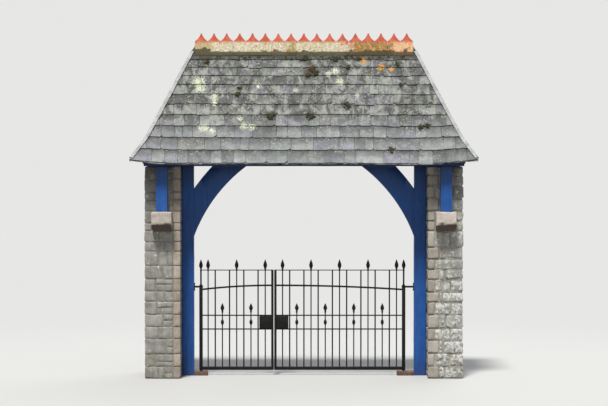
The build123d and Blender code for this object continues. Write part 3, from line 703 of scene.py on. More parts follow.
def wall(side):
    """Rubble stones and quoins bedded round a mortar core; the left wall is worn smoother."""
    node = side + "_wall"
    sign, ease, first_seed, core_ease = (-1.0, 0.6, 100, 0.5) if side == LEFT else (1.0, 1.0, 500, 1.0)
    rng = random.Random(11 if side == LEFT else 47)
    stones, quoins = Piece(node + "_stones"), Piece(node + "_quoins")
    count = 0

    def lay(piece, xs, ys, zs, rough=0.008, warp=0.010, radius=0.018):
        nonlocal count
        count += 1
        spans = [sorted((sign * xs[0], sign * xs[1])), ys, zs]
        low = [span[0] + JOINT / 2 * ease for span in spans]
        high = [span[1] - JOINT / 2 * ease for span in spans]
        if min(h - l for l, h in zip(low, high)) < 0.02:
            return
        shape = worn(ease * rough, 21.0, count + first_seed, ease * warp, 5.0)

        def inside(point, away):
            moved = shape(point, away)
            x = within(abs(moved.x), PASSAGE_FACE + 0.001, OUTER_FACE + 0.006)
            y = within(moved.y, -WALL_END - 0.006, WALL_END + 0.006)
            return Vector((sign * x, y, within(moved.z, 0.0, WALL_TOP - 0.001)))
        piece.add(*block(low, high, ease * radius, 0.030, inside), rng.random())

    def parted(low, high):
        return low + (high - low) * rng.uniform(0.38, 0.62)

    def stack(xs, ys, zs, chance):
        """One stone, or two flat ones over each other."""
        if zs[1] - zs[0] > 0.13 and rng.random() < chance:
            cut = parted(*zs)
            lay(stones, xs, ys, (zs[0], cut))
            lay(stones, xs, ys, (cut, zs[1]))
        else:
            lay(stones, xs, ys, zs)

    inner, outer = PASSAGE_FACE - JOINT / 2 + FACE_SINK, OUTER_FACE + JOINT / 2 - FACE_SINK
    reach = WALL_END + JOINT / 2 - FACE_SINK

    def from_end(end, depth):
        return sorted((end * reach, end * (reach - depth)))

    levels = course_levels(rng)
    for course, zs in enumerate(zip(levels, levels[1:])):
        at_corbel = zs[0] > CORBEL_LOW.z - 0.01 and zs[1] < CORBEL_HIGH.z + 0.01
        depths = {}
        for end in (-1, 1):
            turn = (course + (end > 0)) % 2
            quoin_x = QUOIN_WIDTHS[side][turn]
            quoin_y = rng.uniform(*QUOIN_DEPTHS[turn])
            corner_x = rng.uniform(*CORNER_WIDTHS[turn])
            corner_y = rng.uniform(*CORNER_DEPTHS[turn])
            if at_corbel:
                quoin_x = CORBEL_MIDDLE - CORBEL_HALF - PASSAGE_FACE + 0.002
                corner_x = OUTER_FACE - CORBEL_MIDDLE - CORBEL_HALF + 0.002
            a, b = inner + quoin_x, outer - corner_x
            lay(quoins, (inner, a), from_end(end, quoin_y), zs, 0.004, 0.004, 0.010)
            lay(stones, (b, outer), from_end(end, corner_y), zs)
            depths[end] = (quoin_y, corner_y)
            if at_corbel:
                continue
            if b - a > 0.17 and rng.random() < 0.45:
                cut = parted(a, b)
                lay(stones, (a, cut), from_end(end, END_STONE), zs)
                lay(stones, (cut, b), from_end(end, END_STONE), zs)
            else:
                stack((a, b), from_end(end, END_STONE), zs, 0.5)
        for which, xs in enumerate(((inner, inner + FACE_STONE), (outer - FACE_STONE, outer))):
            y, stop = -reach + depths[-1][which], reach - depths[1][which]
            while y < stop - 0.01:
                step = rng.uniform(*STONE_LENGTHS)
                if stop - y - step < 0.10:
                    step = stop - y
                stack(xs, (y, y + step), zs, 0.35)
                y += step
    stones.finish(RUBBLE[side], "rubble", replaces=[node])
    quoins.finish(QUOIN[side], "rubble")
    core = Piece(node + "_mortar")
    sink = CORE_SINK * core_ease
    x0, x1 = sorted((sign * (PASSAGE_FACE + sink), sign * (OUTER_FACE - sink)))
    low, high = (x0, -WALL_END + sink, 0.005), (x1, WALL_END - sink, WALL_TOP - 0.006)
    core.add(*block(low, high, 0.01, 0.045, worn(0.006, 30.0, 3)))
    core.finish(MORTAR[side], "rubble")


wall(LEFT)
wall(RIGHT)


# Corbels
CORBEL_NOSE = 0.13


def corbels(side, front, seed):
    """Tooled blocks with a rounded underside, a little uneven; front is -1 at the front."""
    piece = Piece(side + "_corbel_stones")
    low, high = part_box(side + "_corbels")
    face, tail = (low.y, high.y) if front < 0 else (high.y, low.y)
    wall_share = (front * WALL_END - tail) / (face - tail)
    for i, sign in enumerate((-1, 1)):
        base = worn(0.006, 24.0, seed + 7 * i, 0.004, 6.0)

        def bend(point, away):
            t = ((point.y - tail) / (face - tail) - wall_share) / (1 - wall_share)
            if t > 0:
                lift = (high.z - CORBEL_NOSE - low.z) * (1 - math.sqrt(max(0.0, 1 - t * t * 0.98)))
                height = (high.z - point.z) / (high.z - low.z)
                point = Vector((point.x, point.y, point.z + lift * height))
            return base(point, away)
        middle = sign * CORBEL_MIDDLE
        corners = (middle - CORBEL_HALF, low.y, low.z), (middle + CORBEL_HALF, high.y, high.z - 0.001)
        piece.add(*block(*corners, 0.014, 0.022, bend), tint=0.35 + 0.4 * i)
    piece.finish(CORBEL, "dressed_stone", replaces=[side + "_corbels"])


corbels(FRONT, -1, 903)
corbels(REAR, 1, 900)


# Painted timber
BRACE_SHOULDER = 0.270
BRACE_HEAD = 0.221
BRACE_INNER_BOW = 0.076
BRACE_OUTER_BOW = 0.006
BRACE_EDGE = 0.005
BRACE_STEPS = 26
BRACE_WAVE = 0.0012
TIMBER_EDGE = 0.006
TIMBER_WEAR = 0.0016


def solid_boxes(node):
    """The boxes of the separate solids of a CAD node."""
    work = welded_copy(node)
    boxes = []
    for group in islands(work):
        spans = list(zip(*[vert.co for vert in group]))
        boxes.append((Vector([min(span) for span in spans]), Vector([max(span) for span in spans])))
    work.free()
    return sorted(boxes, key=lambda box: tuple(round(c, 4) for c in box[0]))


def timber(name, node, seed):
    """Straight timbers in their CAD boxes, one for each solid of the node."""
    piece = Piece(name)
    for number, (low, high) in enumerate(solid_boxes(node), seed + 1):
        points, faces = block(low, high, TIMBER_EDGE, 0.10, worn(TIMBER_WEAR, 9.0, number), True)
        points = [Vector([within(v, l, h) for v, l, h in zip(p, low, high)]) for p in points]
        piece.add(points, faces, tint=(number * 0.37) % 1.0)
    piece.finish(PAINT, "painted_timber", replaces=[node], smooth=50.0)


def arc_point(start, end, bow, t):
    """Point on a shallow arc; bow is the rise to the left of its chord."""
    chord = end - start
    left = Vector((-chord.y, chord.x)).normalized()
    radius = (chord.length ** 2 / 4 + bow ** 2) / (2 * abs(bow))
    along = (t - 0.5) * chord.length
    rise = math.sqrt(radius ** 2 - along ** 2) - (radius - abs(bow))
    return start + chord * t + left * math.copysign(rise, bow)


def brace(side):
    """Curved brace from the post to the tie beam, worked out as the left one."""
    node = side + "_brace"
    low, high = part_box(node)
    sign = -1.0 if side == LEFT else 1.0
    near, post = sorted((abs(low.x), abs(high.x)))
    foot, inner_top = Vector((-post, low.z)), Vector((-near, high.z))
    head, outer_top = Vector((-post, high.z - BRACE_SHOULDER)), Vector((-post + BRACE_HEAD, high.z))
    rings = []
    for i in range(BRACE_STEPS + 1):
        t = i / BRACE_STEPS
        inner = arc_point(foot, inner_top, BRACE_INNER_BOW, t)
        outer = arc_point(head, outer_top, BRACE_OUTER_BOW, t)
        ease = BRACE_EDGE / max(1e-6, (outer - inner).length)
        back = high.y - BRACE_EDGE
        half_ring = [(0.0, back), (ease, high.y), (0.5, high.y), (1 - ease, high.y), (1.0, back)]
        section = []
        for share, y in [(0.0, -back)] + half_ring + [(share, -y) for share, y in half_ring[:0:-1]]:
            flat = inner.lerp(outer, share)
            wave = noise.noise(Vector((flat.x * 9, y * 9, flat.y * 9))) * BRACE_WAVE
            section.append((-sign * flat.x, y + math.copysign(wave, y), flat.y))
        rings.append(section)
    piece = Piece(node + "_timber")
    piece.add(*loft(rings))
    piece.finish(PAINT, "painted_timber", replaces=[node], smooth=50.0)


for name, node, seed in (
        ("left_post_timber", "left_post", 10), ("right_post_timber", "right_post", 14),
        ("front_strut_timbers", "front_struts", 18), ("rear_strut_timbers", "rear_struts", 22),
        ("tie_beam_timber", "tie_beam", 26), ("front_plate_timber", "front_plate", 28),
        ("rear_plate_timber", "rear_plate", 30), ("left_plate_timber", "left_plate", 32),
        ("right_plate_timber", "right_plate", 34)):
    timber(name, node, seed)
brace(LEFT)
brace(RIGHT)

# Pegs at the joints of the frame, as (x, z) on its right half
PEG_PLACES = ((1.365, 1.86), (1.365, 2.05), (1.365, 2.40), (1.05, 2.53), (0.86, 2.53))
PEG = [(0.011, -0.01), (0.011, 0.004), (0.0077, 0.006)]
FRAME_FACE = 0.070
pegs = Piece("frame_pegs")
for sign in (-1, 1):
    for x, z in PEG_PLACES:
        for front in (-1, 1):
            pegs.add(*stud(PEG, front * FRAME_FACE, front, (sign * x, 0.0, z), 12))
pegs.finish(PAINT, "painted_timber")


# Roof
MAIN_PITCH = math.radians(63.6)
FLARE_PITCH = math.radians(57.8)
SLATES_LOW, SLATES_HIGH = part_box("front_slates")
RIDGE_Z = SLATES_HIGH.z
ROOF_RUN = -SLATES_LOW.y
EAVES_HALF = SLATES_HIGH.x
RIDGE_HALF = EAVES_HALF - ROOF_RUN
MAIN_RUN = ROOF_RUN - 0.170
FLARE_Z = RIDGE_Z - MAIN_RUN * math.tan(MAIN_PITCH)
EAVES_Z = FLARE_Z - (ROOF_RUN - MAIN_RUN) * math.tan(FLARE_PITCH)
CORNER_LIFT = 0.045
CORNER_REACH = 0.60
LIFT_START = 0.40
ROOF_WAVE = 0.006
STILL_AT_HIP = 0.3
COURSES = 12
# Exposures fall from the eaves to the ridge in even steps, from 24 shares to 13
SHARES = [2 * COURSES - course for course in range(COURSES)]
HEIGHTS = [EAVES_Z + (RIDGE_Z - EAVES_Z) * sum(SHARES[:course]) / sum(SHARES)
           for course in range(COURSES + 1)]
SLATE_THICK = 0.0110
SLATE_CELLS = 6
SLATE_GAP = 0.0018
SLATE_LAP = 0.055
SLATE_WIDTHS = (0.12, 0.15, 0.18, 0.22, 0.27)
UNDER_BACK, UNDER_DROP = 0.007, 0.014
USUAL_SLIP, LOOSE_SLIP = (0.0, 0.004), (0.008, 0.018)
WORN_BUTT, WORN_CORNER, BROKEN_CORNER = (0.0, 0.005), (0.0, 0.007), (0.010, 0.024)
BOARD_TOP, BOARD_BOTTOM = 0.0270, 0.0450
BOARD_WIDTH = 0.062
BOARD_GAP = 0.0012
BOARD_SETBACK = 0.052
SEED = {FRONT: 5, REAR: 6, LEFT: 7, RIGHT: 8}
WAVE_SHIFT = {FRONT: 0.0, REAR: 9.0, LEFT: 17.0, RIGHT: 23.0}


def distance_at(height):
    """Plan distance from the ridge at which the face of the slates has this height."""
    if height > FLARE_Z:
        return (RIDGE_Z - height) / math.tan(MAIN_PITCH)
    return MAIN_RUN + (FLARE_Z - height) / math.tan(FLARE_PITCH)


def height_at(distance):
    if distance < MAIN_RUN:
        return RIDGE_Z - distance * math.tan(MAIN_PITCH)
    return FLARE_Z - (distance - MAIN_RUN) * math.tan(FLARE_PITCH)


def on_slope(slope, along, distance, height):
    """Point for a place on a slope: along its eaves, out from its top line, and up."""
    if slope == FRONT:
        return Vector((along, -distance, height))
    if slope == REAR:
        return Vector((-along, distance, height))
    if slope == LEFT:
        return Vector((-RIDGE_HALF - distance, -along, height))
    return Vector((RIDGE_HALF + distance, along, height))


def reach_at(slope, distance):
    """Half the length of a slope at a distance from its top line, up to the hips."""
    return distance + (RIDGE_HALF if slope in (FRONT, REAR) else 0.0)


def sag(slope, along, distance):
    """Slow waves of an old roof, and the lift of the eaves: towards the hips on the front
    and the rear, all along on the sides."""
    to_hip = max(0.0, reach_at(slope, distance) - abs(along))
    wave = noise.noise(Vector((along * 1.1 + WAVE_SHIFT[slope], distance * 0.8, 0.0)))
    low = within((distance - LIFT_START) / (ROOF_RUN - LIFT_START), 0.0, 1.0)
    near = max(0.0, 1.0 - to_hip / CORNER_REACH) if slope in (FRONT, REAR) else 1.0
    return ROOF_WAVE * min(1.0, to_hip / STILL_AT_HIP) * wave + CORNER_LIFT * low ** 1.5 * near ** 1.8


# Spots of growth on the slates: place on the slope (along, height) and size
GROWTH = {
    "cream": {
        FRONT: ((-1.23, 3.45, 0.085), (-1.21, 3.37, 0.075), (-1.05, 3.28, 0.060), (-1.04, 3.20, 0.045),
                (-1.16, 2.91, 0.070), (-1.06, 2.88, 0.055), (-0.70, 2.93, 0.055), (-0.60, 2.92, 0.055),
                (-0.74, 3.02, 0.045), (0.42, 3.45, 0.060), (0.36, 3.58, 0.050), (0.28, 3.54, 0.040),
                (-0.53, 3.40, 0.045), (-0.10, 3.35, 0.040), (0.62, 3.30, 0.035)),
        REAR: ((1.0, 3.3, 0.11), (0.4, 2.95, 0.09), (-0.7, 3.4, 0.08), (-1.3, 2.8, 0.1)),
        LEFT: ((0.1, 3.2, 0.08), (-0.2, 2.8, 0.1)),
        RIGHT: ((-0.1, 3.3, 0.07), (0.25, 2.85, 0.09))},
    "orange": {
        FRONT: ((0.69, 3.70, 0.055), (0.90, 3.62, 0.05), (1.02, 3.60, 0.04)),
        REAR: ((-0.4, 3.62, 0.05),),
        LEFT: ((0.05, 3.5, 0.04),),
        RIGHT: ()},
    "moss": {
        FRONT: ((-0.386, 3.055, 0.088), (0.073, 3.055, 0.088), (0.50, 3.17, 0.074), (0.09, 3.56, 0.125),
                (-0.77, 3.30, 0.058), (-0.75, 3.38, 0.050), (1.36, 2.92, 0.060), (1.43, 2.94, 0.050),
                (1.0, 2.66, 0.060), (-1.14, 3.68, 0.060), (0.0, 3.73, 0.075), (0.52, 3.62, 0.050),
                (1.10, 3.66, 0.055), (0.37, 3.71, 0.062), (0.64, 3.72, 0.055), (1.13, 3.42, 0.040)),
        REAR: ((0.5, 3.1, 0.06), (-0.2, 3.5, 0.08), (-0.9, 2.9, 0.05), (1.2, 2.75, 0.06)),
        LEFT: ((-0.1, 3.0, 0.05), (0.3, 2.72, 0.05)),
        RIGHT: ((0.1, 3.05, 0.05), (-0.3, 2.75, 0.05))},
}


def growth(spots, along, height):
    """How strongly a place is covered, from the nearest spot."""
    covers = [1.15 - 0.75 * math.hypot(along - x, (height - z) * 1.12) / size for x, z, size in spots]
    return max(0.0, *covers) if covers else 0.0


def slate(piece, slope, rng, left, right, foot, head, lap):
    """One riven slate; foot and head are the (distance, height) of its butt and of the next one."""
    tint = rng.random()
    exposure = math.hypot(foot[0] - head[0], head[1] - foot[1])
    inward, rise = (foot[0] - head[0]) / exposure, (head[1] - foot[1]) / exposure
    length = exposure + lap
    skew = math.radians(rng.gauss(0.0, 0.45))
    slip = rng.uniform(*USUAL_SLIP) if rng.random() < 0.93 else rng.uniform(*LOOSE_SLIP)
    ragged = [rng.uniform(*WORN_BUTT) for _ in range(SLATE_CELLS + 1)]
    for end in (0, SLATE_CELLS):
        ragged[end] += rng.uniform(*WORN_CORNER)
        if rng.random() < 0.12:
            ragged[end] += rng.uniform(*BROKEN_CORNER)
    thick = SLATE_THICK * rng.uniform(0.75, 1.3)
    bed = rng.uniform(0.0, 0.004)
    shift = Vector((rng.uniform(0, 90), rng.uniform(0, 90), 0.0))
    points, faces, index = [], [], {}
    values = {name: [] for name in (*GROWTH, "up")}
    for layer in (0, 1):
        for j in range(SLATE_CELLS + 1):
            for i in range(SLATE_CELLS + 1):
                s, t = i / SLATE_CELLS, j / SLATE_CELLS
                v = length * t + (ragged[i] - slip) * (1 - t) ** 2
                u = left + (right - left) * s - skew * (v - length / 2)
                v += skew * (u - (left + right) / 2)
                edge = max(0.0, 1 - 6 * min(s, 1 - s, 2 * t))
                riven = noise.noise(Vector((u * 24, v * 24, 0)) + shift)
                deep = SLATE_THICK * v / exposure - bed * (1 - t)
                deep += thick if layer else 0.0018 * edge - 0.0014 * riven
                distance = within(foot[0] - v * inward - deep * rise, 0.004, ROOF_RUN)
                limit = max(0.003, reach_at(slope, distance) - 0.004)
                u = within(u, -limit, limit)
                height = foot[1] + v * rise - deep * inward + sag(slope, u, distance)
                index[layer, j, i] = len(points)
                points.append(on_slope(slope, u, distance, height))
                for name, spots in GROWTH.items():
                    values[name].append(growth(spots[slope], u, height))
                values["up"].append(max(0.0, v) / exposure)
    n = SLATE_CELLS
    for j in range(n):
        for i in range(n):
            corners = ((j, i), (j, i + 1), (j + 1, i + 1), (j + 1, i))
            faces.append([index[(0, *c)] for c in corners])
            faces.append([index[(1, *c)] for c in reversed(corners)])
    rim = [(0, i) for i in range(n)] + [(j, n) for j in range(n)]
    rim += [(n, i) for i in range(n, 0, -1)] + [(j, 0) for j in range(n, 0, -1)]
    for a, b in zip(rim, rim[1:] + rim[:1]):
        faces.append([index[(0, *b)], index[(0, *a)], index[(1, *a)], index[(1, *b)]])
    piece.add(points, faces, tint, **values)


def slates(slope):
    """Random-width slates in courses that diminish towards the ridge, mitred at the hips;
    row -1 is the short course under the first one."""
    piece = Piece(slope + "_slate_courses")
    rng = random.Random(SEED[slope])
    for row in range(-1, COURSES):
        low, high = HEIGHTS[max(row, 0)], HEIGHTS[max(row, 0) + 1]
        foot, head = (distance_at(low), low), (distance_at(high), high)
        if row < 0:
            foot, head = [(d - UNDER_BACK, z - UNDER_DROP) for d, z in (foot, head)]
        half = reach_at(slope, foot[0])
        shrink = 1.0 - 0.36 * max(row, 0) / COURSES
        u = -half - rng.uniform(0.0, 0.1)
        while u < half:
            width = shrink * rng.choice(SLATE_WIDTHS) * rng.uniform(0.85, 1.2)
            left, right = max(u, -half) + SLATE_GAP, min(u + width, half) - SLATE_GAP
            u += width
            if right - left > 0.02:
                slate(piece, slope, rng, left, right, foot, head, 0.0 if row == COURSES - 1 else SLATE_LAP)
    piece.finish(SLATE, "slate", replaces=[slope + "_slates"], smooth=40.0)


def boards(slope):
    """Roof boards laid along the slope under the slates."""
    piece = Piece(slope + "_roof_boards")
    rng = random.Random(SEED[slope] + 10)
    stops = [ROOF_RUN - BOARD_SETBACK, MAIN_RUN] + [MAIN_RUN - BOARD_WIDTH * i for i in range(1, 9)]
    for outer, inner in zip(stops, stops[1:]):
        pitch = FLARE_PITCH if outer > MAIN_RUN + 1e-6 else MAIN_PITCH
        tint = rng.random()
        bottom = BOARD_BOTTOM + rng.uniform(0.0, 0.0015)
        low, high = outer - BOARD_GAP, inner + BOARD_GAP
        sections = []
        for end in (-1, -0.9, -0.8, -0.7, 0, 0.7, 0.8, 0.9, 1):
            section = []
            for d, deep in ((low, BOARD_TOP), (high, BOARD_TOP), (high, bottom), (low, bottom)):
                distance = max(d - deep * math.sin(pitch), 0.002)
                along = end * max(reach_at(slope, distance) - 0.003, 0.001)
                height = height_at(d) - deep * math.cos(pitch) + sag(slope, along, d)
                section.append(on_slope(slope, along, distance, height))
            sections.append(section)
        piece.add(*loft(sections), tint)
    grain = GRAIN_X if slope in (FRONT, REAR) else GRAIN_Y
    piece.finish(grain, "bare_timber", replaces=[slope + "_boarding"])


def swept(slope):
    """A change that lifts rafters with the sweep of the eaves; slope None stands for the hips."""
    def change(work):
        for vert in work.verts:
            along, distance = abs(vert.co.x), abs(vert.co.y)
            if slope in (LEFT, RIGHT):
                along, distance = distance, along - RIDGE_HALF
            if slope is None:
                distance = max(distance, along - RIDGE_HALF)
                along = RIDGE_HALF + distance
            vert.co.z += sag(slope or FRONT, along, distance)
    return change


for slope in SLOPES:
    slates(slope)
for slope in SLOPES:
    boards(slope)
eased_node("ridge_board", "ridge_board_sawn", 0.002, 1, GRAIN_X, "bare_timber")
eased_node("hip_rafters", "hip_rafters_sawn", 0.002, 1, GRAIN_Z, "bare_timber", swept(None))
for slope in SLOPES:
    node = slope + "_rafters"
    eased_node(node, node + "_sawn", 0.002, 1, GRAIN_Z, "bare_timber", swept(slope))


# Ridge tiles, hips and moss
TILE_TILT, TILE_TWIST = 0.35, 0.5
HIP_STEPS = 90
HIP_START, HIP_STOP = 0.035, 0.014
FILLET_WIDE, FILLET_HIGH = 0.030, 0.008
FILLET_SECTION = ((-1.0, -0.6), (-0.85, -0.1), (-0.45, 0.7), (0.0, 1.0),
                  (0.45, 0.7), (0.85, -0.1), (1.0, -0.6))
CUSHION_RINGS, CUSHION_SIDES = 5, 10
CUSHION_THICK = 0.014
CUSHIONS = 9
RIDGE_TUFTS = 26
RIDGE_TUFT_REACH, RIDGE_TUFT_OUT = 1.25, 0.070


def laid_by_hand(work):
    """A change that sets each ridge tile a little out of true."""
    rng = random.Random(3)
    for group in sorted(islands(work), key=lambda g: round(sum(v.co.x for v in g) / len(g), 4)):
        middle = sum((v.co for v in group), Vector()) / len(group)
        turn = Matrix.Rotation(math.radians(rng.uniform(-TILE_TILT, TILE_TILT)), 4, "Y")
        turn = turn @ Matrix.Rotation(math.radians(rng.uniform(-TILE_TWIST, TILE_TWIST)), 4, "Z")
        lift = Vector((0.0, rng.uniform(-0.002, 0.002), rng.uniform(-0.004, 0.0)))
        for vert in group:
            vert.co = middle + turn @ (vert.co - middle) + lift
            vert.co.z = min(vert.co.z, cad_box[1][2])


def hip_section(sx, sy, d):
    """The fillet's section on one hip, at a plan distance from the end of the ridge."""
    place = Vector((sx * (RIDGE_HALF + d), sy * d, height_at(d)))
    place.z += sag(FRONT if sy < 0 else REAR, RIDGE_HALF + d, d)
    fall = MAIN_PITCH if d < MAIN_RUN else FLARE_PITCH
    along = Vector((sx, sy, -math.tan(fall))).normalized()
    across = Vector((sx, -sy, 0.0)).normalized()
    outward = across.cross(along)
    outward = -outward if outward.z < 0 else outward
    wide = FILLET_WIDE * (1 + 0.18 * noise.noise(place * 9))
    high = FILLET_HIGH * (1 + 0.3 * noise.noise(place * 12 + Vector((5, 5, 5))))
    section = []
    for a, b in FILLET_SECTION:
        jitter = 0.0015 * noise.noise(place * 60 + Vector((a * 9, 0, 0)))
        point = place + across * a * wide + outward * (b * high - FILLET_HIGH * abs(a) + jitter)
        point.x = within(point.x, -EAVES_HALF, EAVES_HALF)
        point.y = within(point.y, -ROOF_RUN, ROOF_RUN)
        section.append(point)
    return section


def hip_mortar():
    """Lumpy mortar over the mitres of the slates."""
    piece = Piece("hip_mortar")
    length = ROOF_RUN - HIP_STOP - HIP_START
    for sx in (-1, 1):
        for sy in (-1, 1):
            steps = range(HIP_STEPS + 1)
            piece.add(*loft([hip_section(sx, sy, HIP_START + length * i / HIP_STEPS) for i in steps]))
    piece.finish(HIP_MORTAR, "mortar", replaces=["hip_fillets"])


def cushion(slope, along, height, radius):
    """One lumpy cushion of moss on a slope."""
    pitch = MAIN_PITCH if height > FLARE_Z else FLARE_PITCH
    distance = distance_at(height)
    centre = on_slope(slope, along, distance, height + sag(slope, along, distance))
    sideways = on_slope(slope, 1.0, 0.0, 0.0) - on_slope(slope, 0.0, 0.0, 0.0)
    outward = on_slope(slope, 0.0, 1.0, 0.0) - on_slope(slope, 0.0, 0.0, 0.0)
    upslope = Vector((0, 0, math.sin(pitch))) - outward * math.cos(pitch)
    normal = Vector((0, 0, math.cos(pitch))) + outward * math.sin(pitch)
    thick = min(CUSHION_THICK, radius * 0.45)
    rings = []
    for i in range(CUSHION_RINGS + 1):
        lat = math.pi * (i / CUSHION_RINGS - 0.5)
        ring = []
        for j in range(CUSHION_SIDES):
            lon = 2 * math.pi * j / CUSHION_SIDES
            a, b, c = math.cos(lat) * math.cos(lon), math.cos(lat) * math.sin(lon), math.sin(lat)
            bulge = 1 + 0.55 * noise.noise(Vector((a * 2.2 + along * 9, b * 2.2 + height * 9, c * 2.2)))
            flat = sideways * a * radius + upslope * b * radius * 0.9 + normal * c * thick
            ring.append(centre + flat * bulge)
        rings.append(ring)
    return loft(rings)


def moss_tufts():
    """Cushions of moss on the slates and along the foot of the ridge tiles."""
    piece = Piece("moss_tufts")
    rng = random.Random(21)

    def tuft(slope, along, height, size, tint):
        for _ in range(CUSHIONS):
            turn, away = rng.uniform(0.0, 2 * math.pi), size * math.sqrt(rng.random())
            radius = size * rng.uniform(0.30, 0.60) * (1.2 - 0.6 * away / size)
            place = along + away * math.cos(turn), height + away * math.sin(turn)
            piece.add(*cushion(slope, *place, radius), within(tint + rng.uniform(-0.25, 0.25), 0.0, 1.0))

    for slope in SLOPES:
        for along, height, size in GROWTH["moss"][slope]:
            tuft(slope, along, height, size * 0.55, 0.75 if size > 0.09 else rng.uniform(0.0, 0.4))
    for slope in (FRONT, REAR):
        for _ in range(RIDGE_TUFTS):
            along = rng.uniform(-RIDGE_TUFT_REACH, RIDGE_TUFT_REACH)
            height = height_at(RIDGE_TUFT_OUT) + rng.uniform(-0.02, 0.01)
            tuft(slope, along, height, rng.uniform(0.010, 0.026), rng.uniform(0.0, 0.8))
    piece.finish(MOSS, "slate")


eased_node("ridge_tiles", "crested_tiles", 0.0022, 2, TERRACOTTA, "terracotta", laid_by_hand)
hip_mortar()
moss_tufts()


# Gate leaves
HINGE_AXIS = {"narrow_leaf": -1.215, "wide_leaf": 1.175}
MEETING_LINE = -0.355
MEETING_SETBACK = 0.018
LEAF_BOTTOM = 0.060
UPPER_RAIL_TOP = 1.244
BAND_BOTTOM, BAND_TOP = 0.550, 0.698
STILE_HALF = 0.020
STILE_TOP = 1.030
MEETING_HALF = 0.014
RAIL_HALF = 0.011
BAR_HALF = 0.008
ROD = 0.007
JOURNAL = 0.012
JOURNAL_FOOT, JOURNAL_HEAD = 0.0103, 1.060
STILE_ROD = 0.010
BOTTOM_RAIL, BAND_RAIL, UPPER_RAIL, ARCHED_RAIL = 0.040, 0.014, 0.010, 0.020
ARCH_LOW, ARCH_RISE, ARCH_STEPS = STILE_TOP - 0.031, 0.050, 24
SPEAR_TALL, SPEAR_SHORT = 0.124, 0.100
SPEAR_HALF, SPEAR_THICK = 0.023, 0.0075
DOG_TOP = 0.750
LOCK_LENGTH = 0.140
CASE_RIVET_INSET = 0.014
HINGE_LEVEL, HINGE_PLATE = 1.043, 0.008
BOLT_ACROSS, BOLT_UP = 0.021, 0.034
# The spear head from foot to tip: share of its height, of its width and of its thickness
SPEAR_OUTLINE = ((0.0, 0.32, 0.95), (0.08, 0.42, 0.8), (0.2, 0.68, 0.8), (0.32, 0.92, 0.9), (0.4, 1.0, 1.0),
                 (0.5, 0.93, 1.0), (0.65, 0.72, 0.85), (0.8, 0.43, 0.6), (0.92, 0.18, 0.35), (1.0, 0.03, 0.1))
SPEAR_RING = ((1, 0), (0.35, 0.75), (0, 1), (-0.35, 0.75), (-1, 0), (-0.35, -0.75), (0, -1), (0.35, -0.75))
# Turned profiles, as (radius, height) or (radius, how far it stands out)
COLLAR = mirrored([(0.013, 0.0), (0.0115, 0.007), (0.0075, 0.010)])
KNOP = mirrored([(0.019, 0.0), (0.0175, 0.014), (0.013, 0.023), (0.010, 0.027), (0.010, 0.031),
                 (0.007, 0.034)])
HINGE_RING = [(0.012, 0.0), (0.017, 0.0), (0.019, 0.003), (0.019, 0.009), (0.017, 0.012), (0.010, 0.012)]
RIVET = [(0.006, -0.002), (0.006, 0.001), (0.0045, 0.003), (0.002, 0.004)]
CASE_RIVET = [(0.007, -0.002), (0.007, 0.0), (0.005, 0.002), (0.002, 0.003)]
BOLT = [(0.0075, -0.002), (0.0075, 0.003), (0.004, 0.005)]


